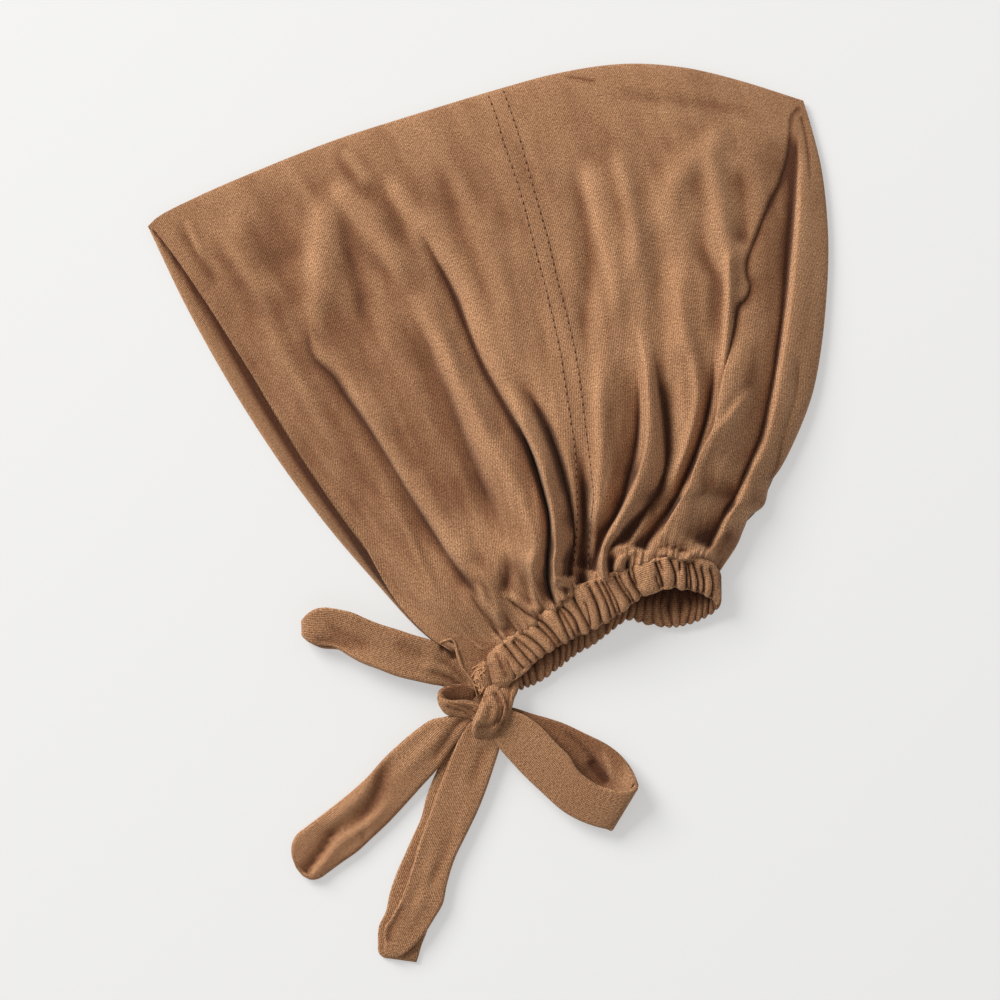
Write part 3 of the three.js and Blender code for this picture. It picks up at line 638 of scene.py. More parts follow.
class Band:
    """A flattened tube of cloth. Each row: an edge (photo x, photo y, height), the opposite edge
    likewise, and the thickness there, the heights and thickness in millimetres."""

    def __init__(self, rows, steps, around, edge=1.0, end_round=1.2):
        rows = np.asarray(rows, float)
        path = Path(np.hstack([edge_places(rows[:, :3]), edge_places(rows[:, 3:6]), rows[:, 6:]]))
        self.share = np.linspace(0, 1, steps)
        both = path(self.share)
        first, second, thick = both[:, :3], both[:, 3:6], both[:, 6]
        middle = (first + second) / 2
        half = (second - first) / 2
        self.width = np.linalg.norm(half, axis=1)
        gone = np.linalg.norm(np.diff(middle, axis=0), axis=1)
        self.run = np.concatenate([[0], np.cumsum(gone)])
        to_end = np.minimum(self.run, self.run[-1] - self.run)
        from_round = 1 - np.clip(to_end / end_round, 0, 1)
        closing = np.sqrt(np.clip(1 - from_round ** 2, END_OPENING, 1))
        angle = np.linspace(0, 2 * math.pi, around, endpoint=False)
        self.s = np.sin(angle)
        out = unit(half)
        normal = unit(np.cross(half, unit(np.gradient(middle, axis=0))))
        if normal[0, 2] < 0:
            normal = -normal
        radius = np.minimum(thick / 2, self.width)[:, None]
        width = self.width[:, None]
        self.x = x = width * np.cos(angle)[None, :]
        beyond = np.clip((np.abs(x) - (width - radius * edge)) / (radius * edge), 0, 1)
        y = radius * np.sqrt(1 - beyond ** 2) * np.sign(np.round(self.s, 9))[None, :]
        y = y * closing[:, None]
        out, normal = out[:, None, :], normal[:, None, :]
        self.places = middle[:, None, :] + out * x[..., None] + normal * y[..., None]
        steep = unit(np.stack([x / width ** 2, y / np.maximum(radius, 1e-6) ** 2], axis=-1))
        self.facing = out * steep[..., :1] + normal * steep[..., 1:]
        # Painted shading, 0.5 where the cloth is painted neither lighter nor darker
        self.painted_shading = np.full(x.shape, 0.5)

    def push(self, amount):
        """Moves the surface out by an amount in millimetres at each vertex, and paints it with painted
        light where it moves out and painted shade where it moves in.
        """
        self.places = self.places + self.facing * amount[..., None]
        self.painted_shading = np.clip(self.painted_shading - PAINTED_SHADE_PER_MM * amount, LEAST_PAINTED_SHADE, 1)

    def mesh(self, shell=0):
        """Places, faces, uvs and painted shading."""
        index = np.arange(self.x.size).reshape(self.x.shape)
        faces = tube_faces(index).tolist() + [index[0].tolist(), index[-1][::-1].tolist()]
        u = self.x + np.where(self.s[None, :] < 0, UNDER_SIDE_U, 0) + SHELL_U * shell
        v = np.broadcast_to(self.run[:, None], u.shape)
        places = self.places.reshape(-1, 3).copy()
        places[:, 2] = np.maximum(places[:, 2], LOWEST_BAND)
        return places, faces, np.stack([u, v], axis=-1).reshape(-1, 2), self.painted_shading.ravel()


def join_meshes(name, parts):
    """One object from several shells."""
    faces, start = [], 0
    for places, shell_faces, _, _ in parts:
        faces += [[corner + start for corner in face] for face in shell_faces]
        start += len(places)
    places, uvs, painted_shadings = (np.concatenate([part[k] for part in parts]) for k in (0, 2, 3))
    return make_mesh(name, places, faces, uvs, painted_shadings)


# The ties' bands, how much painted shade darkens their inner face, and how they rumple: how high, over
# what width and what length, how far the pattern moves on from band to band, and the shares of the length
# over which it fades at the ends
TIE_STEPS = 150
TIE_AROUND = 44
INNER_SHADE = 0.2
INNER_FADE = 0.06
TIE_RUMPLE = ((0.245, 5, 16), (0.14, 2.6, 7))
TIE_SHIFT = (9, 37)
TIE_FADES = (0.04, 0.02)


def tie_band(rows, chart, inner, seed):
    """A length of the tie, with the folds of a chart and a slight rumple. Over the share inner of its
    length it shows its inner face, darkened with painted shade."""
    band = Band(rows, TIE_STEPS, TIE_AROUND)
    v = band.run[:, None] + TIE_SHIFT[1] * seed
    (broad, wide, long), (fine, narrow, brief) = TIE_RUMPLE
    height = broad * noise(band.x / wide + TIE_SHIFT[0] * seed, v / long)
    height = height + fine * noise(band.x / narrow, v / brief)
    height = height + relief(band.places[..., :2], chart)[0]
    ends = smooth(band.share / TIE_FADES[0]) * smooth((1 - band.share) / TIE_FADES[1])
    band.push(height * np.clip(band.s, 0, 1)[None, :] ** 0.5 * ends[:, None])
    # Painted shade on the inner face
    if inner:
        inside = smooth((inner - band.share) / INNER_FADE)[:, None]
        band.painted_shading = band.painted_shading + INNER_SHADE * inside
    return band.mesh(seed)


# Bands, each row as Band has them. The casing, from its plain start by the hem along the near
# band, round the right end and back along the far band
CASING = (
    (491,648,8.6, 491,686,6.6, 4), (499,642,9.6, 499,688,7.4, 5.4), (511,634,10.4, 514,680,8.6, 5.6),
    (526,624,11.6, 531,667,9.8, 5.4), (541,612,13, 546,655,11.2, 5.4), (557,600,14.6, 564,645,12.4, 5.4),
    (576,586,16.2, 583,635,13.8, 5.4), (597,577,17.4, 605,624,14.6, 5.4),
    (620,568,18.2, 623,612,15.4, 5.2), (645,560,18.6, 645,596,15.8, 5), (668,556,18, 668,589,15.2, 5),
    (690,556,16.4, 689,592,13.8, 5), (706,559,14, 704,597,11.8, 5), (715,566,10.8, 714,603,9, 4.6),
    (717,574,7.6, 716.5,609,6.6, 4.4), (713,581,5.2, 712,614,4.8, 4.4), (703,585,3.8, 702,620,3.6, 4.6),
    (688,586,3.2, 688,625.5,3, 4.8), (668,586,3.2, 668,628,3, 4.8), (648,588,3.2, 646,625,3, 4.8),
    (630,592,3.2, 628,621,3, 4.8), (611,600,3.2, 610,633,3, 4.8), (593,609,3.2, 594,645,3, 4.8),
    (571,624,3.2, 574,657,3, 4.8), (550,638,3.2, 556,671,3, 4.8), (530,652,3.2, 537,684,3, 4.8),
    (511,665,3.2, 519,691,3, 4),
)
# The corner where the face edge is drawn down to the tie: its cloth, its rolled edge, and the two
# puffs of the casing's cut end
HEM_CORNER = (
    (452,634,10.6, 457,652,10.2, 1.2), (459,634,10.4, 461,664,9.4, 1.3),
    (468,636,10.2, 466,674,8.4, 1.3), (478,638,10.2, 474,682,7.6, 1.3), (488,640,10.2, 482,690,6.8, 1.3),
    (496,642,10, 490,690,6.4, 1.3),
)
HEM_RIM = (
    (439,641.5,9.8, 439.6,643.6,9.6, 1.2), (446,638.6,10.8, 446.6,640.8,10.6, 1.4),
    (452.5,637.6,11.4, 451.5,640,11.2, 1.5), (456,641,11.4, 453.4,642,11.2, 1.5),
    (458.4,650,11, 456,650.6,10.8, 1.5), (461,659.4,10.4, 458.6,660.2,10.2, 1.5),
    (464.2,667,9.8, 461.8,668.4,9.6, 1.5), (468.8,673,9.2, 466.4,674.8,9, 1.5),
    (474,680.4,8.6, 471.4,681.8,8.4, 1.5), (477.2,689.6,8, 474.6,690.2,7.8, 1.5),
    (479.4,698,7, 477,698.4,6.8, 1.4),
)
SMALL_PUFF = (
    (479,661,7.6, 487,660,8.6, 3), (475,667,8.2, 490,665,9.6, 4.6), (474,675,8.4, 491,674,9.6, 5.2),
    (475.5,683,7.8, 491,682,8.6, 4.8), (478,690,7, 490,689,7.4, 3.6), (480,694,6.2, 488,693,6.4, 2.4),
)
FAT_PUFF = (
    (490,650,8.4, 501,648.5,9.4, 3), (486.5,656,9.4, 506,655,10.4, 5.4),
    (487,664,9.6, 509,662,10.8, 6.4), (488.5,673,9.4, 513,669,10.4, 6.4),
    (491,681,8.8, 514.5,675.5,9.4, 5.6), (495,686.5,8, 512,680,8.2, 4),
    (499,688.5,7.2, 508,684.5,7.2, 2.4),
)
PUFF_FOLDS = (
    (-1.6, 0.9, 0.7, 1.1, 0.2, 0.2, (495,652, 500,660, 505,670, 509,680)),
    (-0.6, 1.4, 1.4, 1.6, 0.2, 0.2, (489,662, 491,672, 494,682)),
)
# Each shell of that corner: its rows, how far in its edges round off, its folds, and how much painted
# shade darkens it
CORNER = ((HEM_CORNER, 1, (), 0.12), (HEM_RIM, 1, (), 0),
          (SMALL_PUFF, 2.4, PUFF_FOLDS, 0), (FAT_PUFF, 2.4, PUFF_FOLDS, 0))
CORNER_STEPS = 90
CORNER_AROUND = 36
NEAR_SHARE = 0.53
GROOVES = (
    # depth, spread left, spread right, roundness, fade in, fade out, line from seam to rim
    (-2.6, 0.5, 0.45, 1.2, 0.2, 0, (499,654, 505,662, 510,670, 515,678)),
    (-2.4, 0.5, 0.45, 1.2, 0.1, 0, (503,642, 510,652, 517,662, 524,670)),
    (-2.4, 0.5, 0.45, 1.2, 0.1, 0, (511,639, 519,649, 526,658, 533,666)),
    (-1.9, 0.45, 0.4, 1.2, 0.1, 0, (513,636, 524,645, 533,654, 539,661)),
    (-2.4, 0.5, 0.45, 1.2, 0.1, 0, (518,630, 529,637, 539,646, 547,656)),
    (-2.2, 0.5, 0.45, 1.2, 0.1, 0, (530,618, 540,629, 550,640, 557,650)),
    (-2.8, 0.55, 0.5, 1.2, 0, 0, (528,611, 537,617, 548,628, 558,641, 563,648)),
    (-2.6, 0.5, 0.45, 1.2, 0, 0, (552,599, 557,612, 563,626, 570,642)),
    (-2, 0.45, 0.4, 1.2, 0.1, 0, (555,603, 563,615, 572,631, 576,640)),
    (-2.6, 0.5, 0.45, 1.2, 0, 0, (554,600, 566,610, 575,622, 580,637)),
    (-2.6, 0.5, 0.45, 1.2, 0.1, 0, (569,589, 575,602, 582,615, 591,632)),
    (-1.4, 0.4, 0.4, 1.2, 0.2, 0.1, (583,598, 587,608, 591,628)),
    (-2.8, 0.55, 0.5, 1.2, 0, 0, (586,582, 592,594, 597,606, 602,627)),
    (-2.4, 0.5, 0.45, 1.2, 0.1, 0, (594,578, 601,592, 607,606, 611,621)),
    (-2.2, 0.45, 0.4, 1.2, 0.1, 0, (600,579, 606,590, 612,604, 617,618)),
    (-1.8, 0.4, 0.4, 1.2, 0.1, 0, (604,579, 610,590, 616,602, 620,614)),
    (-2.4, 0.5, 0.45, 1.2, 0, 0, (613,574, 620,588, 628,600, 632,607)),
    (-1.6, 0.4, 0.4, 1.2, 0.1, 0, (617,572, 623,585, 630,596, 634,604)),
    (-2.8, 0.55, 0.5, 1.2, 0, 0, (626,565, 630,578, 636,590, 642,599)),
    (-1.6, 0.4, 0.4, 1.2, 0.1, 0.3, (631,564, 634,577, 638,590)),
    (-2.6, 0.5, 0.45, 1.2, 0.1, 0.1, (654,559, 657,568, 660,577, 663,590)),
    (-1.4, 0.4, 0.4, 1.2, 0.3, 0, (654,573, 656,581, 659,590)),
    (-1.6, 0.4, 0.4, 1.2, 0.1, 0.4, (658,559, 661,566, 664,574)),
    (-2.8, 0.5, 0.45, 1.2, 0, 0, (669,557, 673,568, 675,577, 674,592)),
    (-2, 0.5, 0.5, 1.3, 0.2, 0.3, (678,560, 679,567, 679,573)),
    (-2.6, 0.5, 0.45, 1.2, 0, 0, (684,558, 686,572, 686,592)),
    (-2.2, 0.45, 0.4, 1.2, 0.1, 0, (687,559, 690,574, 691,594)),
    (-2.4, 0.5, 0.45, 1.2, 0, 0, (692,560, 696,573, 698,583, 696,597)),
    (-2.2, 0.5, 0.45, 1.2, 0.1, 0, (700,564, 704,579, 704,590, 699,602)),
    (-2.2, 0.5, 0.45, 1.2, 0.1, 0, (709,565, 713,579, 713,592, 707,607)),
)
GROOVE_GAIN = 1.1
ROLL_DEPTH = 0.3  # of a groove's depth, by which the cloth bends down to it
ROLL_SPREAD = 3.6
RIB_PITCH = 3.7
RIB_DEPTH = 1.5
RIB_DEPTH_VARIES = 0.7
RIB_SPREAD = 0.75
RIB_SHARPNESS = 1.1
RIB_WANDER = 0.5
RIB_SLANT = 0.12
CASING_RUMPLE = (0.25, 0.12)
CORNER_RUMPLE = 0.3
# Painted shade on the far band, deepest towards its upper edge, and painted light on the near band
FAR_SHADE = 0.42
FAR_SHADE_TO = 0.45  # from the upper edge, at -1, to the lower one, at 1
NEAR_PAINTED_LIGHT = 0.21
NEAR_FADE = 0.02
CASING_STEPS = 1600
CASING_AROUND = 44
CASING_EDGE = 2.2
CASING_END = 1.5


def casing_cloth():
    """The ruffled elastic casing: charted grooves on the near band, even ribs elsewhere."""
    band = Band(CASING, CASING_STEPS, CASING_AROUND, CASING_EDGE, CASING_END)
    v = band.run[:, None]
    side_share = band.x / band.width[:, None]
    wander = RIB_WANDER * noise(v / 11 + 3, side_share * 0.8)
    phase = v / RIB_PITCH + wander + RIB_SLANT * side_share
    from_groove = np.abs(phase - np.round(phase)) * RIB_PITCH
    varied = RIB_DEPTH_VARIES * noise(np.round(phase) * 1.7 + 0.3, side_share * 0.7 + 5)
    ribs = -(RIB_DEPTH + varied) * np.exp(-(from_groove / RIB_SPREAD) ** RIB_SHARPNESS)
    rolls = tuple((ROLL_DEPTH * depth, ROLL_SPREAD * left, ROLL_SPREAD * right, 2, *rest)
                  for depth, left, right, _, *rest in GROOVES)
    charted = GROOVE_GAIN * relief(band.places[..., :2], GROOVES + rolls)[0]
    on_near = smooth((NEAR_SHARE - band.share) / NEAR_FADE)[:, None]
    upper = smooth((band.s + 0.45) / 0.4)[None, :] * on_near
    rumple = CASING_RUMPLE[0] * noise(v / 3.1, side_share * 1.4 + 8)
    rumple = rumple + CASING_RUMPLE[1] * noise(v / 1.3, side_share * 3)
    band.push(charted * upper + ribs * (1 - upper) + rumple)
    # Painted shade on the far band and painted light on the near one
    far_shade = FAR_SHADE * smooth((FAR_SHADE_TO - side_share) / 1.1)
    band.painted_shading = band.painted_shading - NEAR_PAINTED_LIGHT * on_near + far_shade * (1 - on_near)
    shells = [band.mesh()]
    for number, (rows, edge, folds, shade) in enumerate(CORNER):
        part = Band(rows, CORNER_STEPS, CORNER_AROUND, edge=edge)
        rumple = CORNER_RUMPLE * noise(part.x / 4 + 11 * number, part.run[:, None] / 4)
        part.push(rumple + relief(part.places[..., :2], folds)[0])
        # Painted shade on the hem's corner cloth
        part.painted_shading = part.painted_shading + shade
        shells.append(part.mesh(3 + number))
    return join_meshes("casing_cloth", shells)


# The bow's bands and folds
LOOP_LEFT = (
    (494,690,4, 484,708,4, 3), (482,678,4.6, 470,700,4.4, 3), (470,664,5, 458,692,4.8, 3),
    (457,653,6, 443,686,6, 3), (444,645.7,7.2, 432,684,7.2, 3), (432.9,640,8.6, 418.6,681,8, 3),
    (414.3,634.3,9.8, 397,675.7,8.5, 3), (397,628.6,9.8, 379,668.6,8.5, 3),
    (378.6,622.9,9.6, 361.4,662,8.2, 3), (364.3,617,9.5, 350,655.5,7.8, 3),
    (352.9,612,9.5, 341,649.8,7.6, 3), (338,608.6,9.2, 333,646,7.4, 3), (325.7,607,9, 322,645,7.2, 3),
    (315.7,608.6,8.4, 313,643.5,7, 3), (308.5,613,7.2, 308,641,6.4, 3),
    (305,618,5.4, 305.5,637.5,5.2, 3), (305,618,3.6, 305.5,638.5,3.6, 2.8),
    (309,613,2.2, 309,642,2.2, 2.8), (322,612,1.7, 322,648,1.7, 2.8), (338,614,1.7, 338,649.5,1.7, 2.8),
    (360,622,1.8, 352,654,1.8, 2.8), (400,640,2, 390,668,2, 2.8), (440,655,2.2, 430,680,2.2, 2.8),
    (466,668,3, 458,690,3, 2.6),
)
LOOP_LEFT_FOLDS = (
    (-2.6, 2, 1.6, 1.6, 0.1, 0.1, (440,646, 447,647, 453,651, 457,659)),
    (-1, 4, 3, 2, 0.3, 0.3, (322,622, 340,633, 358,642, 378,650)),
    (-1.6, 2.2, 1, 1.2, 0.3, 0, (425,669, 441,673, 453,680, 462,686)),
    (-1.2, 1.5, 1.5, 1.4, 0.3, 0, (434,658, 448,664, 460,674, 468,684)),
    (-0.8, 3, 3, 2, 0.3, 0.3, (392,640, 412,650, 432,655)),
    (0.8, 2, 2, 2, 0.3, 0.2, (420,664, 440,668, 455,674)),
    (1, 1.4, 1.4, 2, 0.2, 0.2, (318,646, 334,647, 352,654, 376,664, 400,674)),
    (-1, 1, 1, 1.4, 0.2, 0.3, (312,640, 326,641, 342,645, 360,651)),
)
LOOP_RIGHT = (
    (500,706,4, 494,726,4, 2.8), (512,707,3.2, 500,733,3, 2.8), (531,713,3, 512,748,2.4, 2.8),
    (561,722,3.2, 540,765,2, 2.8), (585,733,3.6, 562,777,1.8, 2.8), (607,744,4.6, 581,788,1.8, 2.8),
    (621,755,6, 594,800,1.8, 2.8), (631,768,8, 602,813,2, 2.8), (635,777,9.4, 607,823,2.4, 2.8),
    (636.5,783,10.4, 609.5,830,3.6, 2.8), (634,786,11, 607,828.5,5, 2.8), (622,789,11, 597,826,5.8, 3),
    (604,786,10.6, 585,822,6.2, 3), (591,780,10.4, 574,817,6.4, 3), (578,769,10.2, 561,809,6.4, 3),
    (569,755,9.8, 543,793,6.2, 3), (555,741,9.4, 524,775,6, 3), (543,728,9, 510,760,6, 3),
    (528,716,8.6, 499,747,6, 3), (514,710,8, 493,735,6, 3), (503,706,6, 490,724,6, 2.8),
)
LOOP_RIGHT_FOLDS = (
    (-2.2, 2.6, 2, 1.4, 0.3, 0.2, (586,758, 596,768, 604,778, 611,783)),
    (1.2, 1.2, 1.2, 1.6, 0.3, 0.2, (602,748, 607,760, 611,772, 613,782)),
    (-1.2, 1, 1, 1.4, 0.3, 0.2, (560,728, 578,742, 592,758, 598,770)),
    (-0.9, 0.8, 0.8, 1.2, 0.2, 0.3, (500,724, 512,738, 524,752, 534,764)),
    (0.7, 2, 2, 2, 0.2, 0.3, (512,728, 534,748, 556,768, 580,790)),
    (-0.6, 2.4, 2.4, 2, 0.3, 0.2, (560,760, 576,784, 592,800, 612,806)),
    (0.6, 2, 1.2, 2, 0.3, 0.2, (570,800, 590,812, 612,818)),
)
TAIL_LEFT = (
    (480,704,6, 486,722,5, 3), (466,708,6.6, 474,720,5, 3.4), (446,716,6, 460,738,4, 3.8),
    (432,719,5.4, 452,748,3.4, 4), (418,728,4.8, 439,767,2.8, 4), (401,742,4.2, 421,787,2.4, 4),
    (384,758,3.6, 404,806,2.2, 4), (367,777,3.2, 388,823,2.2, 4), (348,794,2.8, 372,838,2.2, 4),
    (328,810,2.4, 358,851,2.2, 4), (307,826,2.2, 341,863,2.2, 4), (297,834,2.2, 330,871,2.2, 4),
    (292,844,2.2, 320,878,2.2, 4), (291.5,853,2.1, 312,879.5,2.1, 3.6), (294,862,2, 306,877,2, 3),
    (299,870,1.8, 302,873,1.8, 2),
)
TAIL_LEFT_FOLDS = (
    (-2, 3.2, 3, 1.8, 0.3, 0.4, (398,752, 384,770, 378,790, 368,808, 352,822, 336,834)),
    (-2.6, 2.4, 0.8, 1.1, 0.4, 0, (352,819, 340,827, 331,836, 324,848, 316,859, 306,873)),
    (1.6, 1.2, 2.6, 2, 0.3, 0.05, (396,790, 378,812, 358,828, 342,838, 332,850, 322,862, 311,876)),
    (1.2, 2, 2.4, 2, 0.3, 0.3, (378,774, 360,795, 338,815, 318,830)),
    (-0.8, 1.2, 1.2, 1.4, 0.3, 0.3, (360,826, 364,836, 362,846)),
    (1, 3, 3, 2, 0.2, 0.3, (448,722, 430,742, 410,764, 392,786)),
    (-1, 1.4, 1.4, 1.6, 0.1, 0.3, (468,716, 458,724, 446,740, 430,764)),
)
TAIL_LOWER_UNDER = (
    (474,724,3, 492,736,3, 2.2), (456,740,1.8, 489,750,1.8, 2.4), (447,752,1.4, 486,764,1.4, 2.4),
    (438,768,1.4, 480,782,1.4, 2.4), (427,795,1.4, 468,812,1.4, 2.4), (421,818,1.4, 460,835,1.4, 2.4),
    (413,836,1.4, 452,856,1.4, 2.4), (405,854,1.4, 446,876,1.4, 2.4), (397,872,1.4, 438,898,1.4, 2.4),
    (390,892,1.4, 433,912,1.4, 2.4), (386,911,1.4, 430,922,1.4, 2.4), (379,926,1.4, 426,934,1.4, 2.4),
    (378,941,1.4, 422,944,1.4, 2.4), (379,953,1.4, 418.5,956,1.4, 2.2),
    (384,957.5,1.3, 416.5,962,1.3, 1.8),
)
TAIL_LOWER = (
    (474,716,6, 498,728,6, 3), (464,728,5.4, 501,738,5.6, 3), (456,745,4.6, 499,750,5, 3),
    (449,761,4.2, 494,766,4.6, 3), (440,785,4, 487,787,4.2, 3), (430,812,4, 478,810,4, 3),
    (422,834,4, 467,833,4, 3), (414,860,4, 455,858,4, 3), (405,889,4, 447,884,4, 3),
    (398,904,4, 443,903,4, 3), (391,917,4, 435,917,4, 3), (384,929,4, 424,934,4, 2.8),
    (385,941,3.8, 413,946,3.8, 2.6), (384.5,952,3.4, 403,954,3.4, 2.2), (390,957,3.2, 397,957,3.2, 1.6),
)
TAIL_LOWER_FOLDS = (
    (-1.2, 1.2, 1.8, 1.4, 0.2, 0.1, (404,902, 397,914, 390,928, 388,944)),
    (1, 1, 1.4, 1.6, 0.1, 0.3, (386,930, 396,912, 408,880, 420,846, 432,812)),
    (-0.8, 3, 2, 2, 0.3, 0.3, (460,820, 446,850, 432,880, 424,905)),
    (0.9, 2.4, 2.4, 2, 0.3, 0.3, (440,845, 430,868, 424,892, 412,920)),
    (-0.8, 2, 2, 2, 0.2, 0.3, (486,742, 478,764, 468,792)),
)
KNOT_WRAP = (
    (489,677,4.6, 503,676,4.6, 2.6), (487,684,6.4, 501,683,6.4, 2.8), (485,690,9, 500,689,8.8, 3.6),
    (482.5,697,11.4, 504,696,10.8, 4.4), (479,705,12.6, 506.5,704,12, 4.8),
    (476,713,12.8, 506,714,11.8, 4.8), (472.5,722,11.6, 501,723,10.6, 4.6),
    (472,728,9.4, 497.5,729,8.8, 4.2), (473,732.5,6, 494,734,6, 4), (478,734,3.2, 490,735,3.2, 3.2),
)
KNOT_WRAP_FOLDS = (
    (-2.2, 0.7, 0.6, 1, 0.1, 0.1, (495,689, 501,697, 503.5,706, 502.5,715, 498,725)),
    (-1.6, 0.6, 0.5, 1, 0.1, 0.1, (491,689, 498,698, 500,707, 498.5,716, 493,728)),
    (-1.4, 0.8, 0.8, 1.4, 0.1, 0.3, (487,692, 483,701, 479,711, 476,720)),
    (1, 1.4, 1.6, 2, 0.2, 0.2, (485,698, 481,707, 477,717, 475,726)),
    (-0.8, 1, 1, 1.4, 0.3, 0.3, (492,700, 490,710, 486,722)),
    (-0.8, 2, 1.6, 1.4, 0.2, 0.2, (476,727, 484,726, 494,727)),
)
KNOT_LEAD = (
    (500,672,4, 515,674,3.6, 3), (502,680,6.4, 519,682,5.4, 3.8), (499,688,7.6, 518,690,7.6, 4.2),
    (499,696,8.6, 514.5,698,9, 4.2), (501,705,9.4, 512,707,9, 4), (501,714,8.6, 508,716,7.6, 3.6),
    (496,722,5.4, 503,724,5, 3),
)
KNOT_LEAD_FOLDS = (
    (-1, 0.6, 0.6, 1, 0.2, 0.2, (509,672, 511,684, 510,695, 508,708)),
)
KNOT_TURN = (
    (476,688,7.4, 474,704,3.4, 1.6), (466,684.5,8.6, 466,704,3.8, 1.6),
    (456,683.5,9.4, 457,703.5,4.2, 1.6), (447,685.5,9.8, 451,702,5, 1.8),
    (441,688.5,9.6, 447,699,6.6, 2), (438,692.5,9, 444,697.5,8.6, 2.2),
    (438.3,698,8.2, 443,697,10.2, 2.6), (440.5,705,7.6, 448,699.5,11.2, 3),
    (446,712.5,7, 456,700,11.8, 3.4), (456,714.5,6.8, 466,700,12, 3.6),
    (468,717,6.8, 474,701.5,11.8, 3.6), (478,722,6.2, 482,706,10.6, 3.4),
)
KNOT_TURN_FOLDS = (
    (-1.2, 0.8, 0.7, 1, 0.2, 0.1, (446,701, 456,704, 468,708, 478,714)),
    (-1, 0.7, 0.6, 1, 0.2, 0.1, (443,705, 455,709, 466,713, 474,719)),
    (-0.8, 0.6, 0.6, 1, 0.2, 0.1, (453,700, 464,703, 475,709)),
)


def feed(tree, node, inputs):
    """Sets a node's inputs, each to a value or from another node's output."""
    for name, value in inputs.items():
        if isinstance(value, bpy.types.NodeSocket):
            tree.links.new(value, node.inputs[name])
        else:
            node.inputs[name].default_value = value


def add(tree, kind, inputs, **settings):
    """A new node of a tree."""
    node = tree.nodes.new("ShaderNode" + kind)
    for name, value in settings.items():
        setattr(node, name, value)
    feed(tree, node, inputs)
    return node


def ramp(tree, source, *stops):
    """A colour from a value: each stop is a place and its colour."""
    node = add(tree, "ValToRGB", {0: source})
    ends = node.color_ramp.elements
    ends[0].position, ends[1].position = stops[0][0], stops[-1][0]
    ends[0].color, ends[1].color = (*stops[0][1], 1), (*stops[-1][1], 1)
    for place, colour in stops[1:-1]:
        ends.new(place).color = (*colour, 1)
    return node.outputs[0]


def new_material(name, inputs):
    """A material, its tree and its shader."""
    material = bpy.data.materials.new(name)
    material.use_nodes = True
    shader = material.node_tree.nodes["Principled BSDF"]
    feed(material.node_tree, shader, inputs)
    return material, material.node_tree, shader


WHITE = (1, 1, 1)
# The knit's colours, dark and light, of its fibres, its fuzz and its larger patches: how far they
# are stretched along the cloth, how fine, how detailed and how rough the pattern is, and the
# values between which one colour turns into the other
HEATHER = (
    (0.55, 1.9, 4, 0.7, 0.37, (0.34, 0.15, 0.064), 0.63, (1, 0.58, 0.32)),
    (1, 0.42, 5, 0.72, 0.36, (0.86, 0.84, 0.82), 0.64, WHITE),
    (0.5, 0.05, 4, 0.6, 0.38, (0.9, 0.87, 0.85), 0.62, WHITE),
)
COURSES = {"Scale": 0.45, "Distortion": 2.2, "Detail Scale": 1.4}
COURSE_DARK = (0.82, 0.8, 0.78)
# The painted shading: how the colour lightens into a painted highlight on a ridge and deepens into
# painted shade down into a hollow
PAINTED_SHADING_RAMP = ((0.25, WHITE), (0.5, (0.8, 0.78, 0.76)), (0.68, (0.53, 0.45, 0.4)),
             (0.95, (0.2, 0.125, 0.095)))


def jersey(name, wale_scale, wale_dark):
    """Fine heathered jersey: wales and courses of small loops, mixed fibres, a soft fuzz, and painted
    shade, a darker red-brown, where the cloth sinks between folds, with painted highlight on the ridges."""
    material, tree, shader = new_material(name, {
        "Roughness": 0.78, "Specular IOR Level": 0.22, "Sheen Weight": 0.3,
        "Sheen Roughness": 0.4, "Sheen Tint": (1, 0.8, 0.6, 1),
    })
    uv = add(tree, "UVMap", {}, uv_map="cloth").outputs[0]

    def times(first, second):
        node = add(tree, "MixRGB", {0: 1, 1: first, 2: second}, blend_type="MULTIPLY")
        return node.outputs[0]

    def waves(direction, inputs):
        node = add(tree, "TexWave", {"Vector": uv, **inputs}, bands_direction=direction)
        return node.outputs["Fac"]

    def more(first, weight, second):
        return add(tree, "Math", {0: first, 1: weight, 2: second}, operation="MULTIPLY_ADD").outputs[0]

    patterns, colours = [], []
    for stretch, scale, detail, roughness, low, dark, high, pale in HEATHER:
        placed = add(tree, "Mapping", {"Vector": uv, "Scale": (1, stretch, 1)}).outputs[0]
        pattern = add(tree, "TexNoise", {
            "Vector": placed, "Scale": scale, "Detail": detail, "Roughness": roughness,
        }).outputs[0]
        patterns.append(pattern)
        colours.append(ramp(tree, pattern, (low, dark), (high, pale)))
    wales = waves("X", {"Scale": wale_scale, "Distortion": 1.6, "Detail": 2, "Detail Scale": 1.2})
    courses = waves("Y", COURSES)
    colours.append(ramp(tree, wales, (0, wale_dark), (0.8, WHITE)))
    colours.append(ramp(tree, courses, (0, COURSE_DARK), (0.8, WHITE)))
    # Painted shade in the hollows of the folds and painted highlight on their ridges, from the mesh's
    # painted shading
    painted_shading = add(tree, "Attribute", {}, attribute_name="painted_shading").outputs["Fac"]
    colours.append(ramp(tree, painted_shading, *PAINTED_SHADING_RAMP))
    colour = colours[0]
    for shade in colours[1:]:
        colour = times(colour, shade)
    fibres, fuzz, _ = patterns
    loops = more(courses, 0.35, more(wales, 0.55, fibres))
    fine = add(tree, "Bump", {"Strength": 0.8, "Distance": 0.0004, "Height": loops}).outputs[0]
    swell = add(tree, "Bump", {"Strength": 0.5, "Distance": 0.0006, "Height": fuzz, "Normal": fine})
    feed(tree, shader, {"Base Color": colour, "Normal": swell.outputs[0]})
    return material


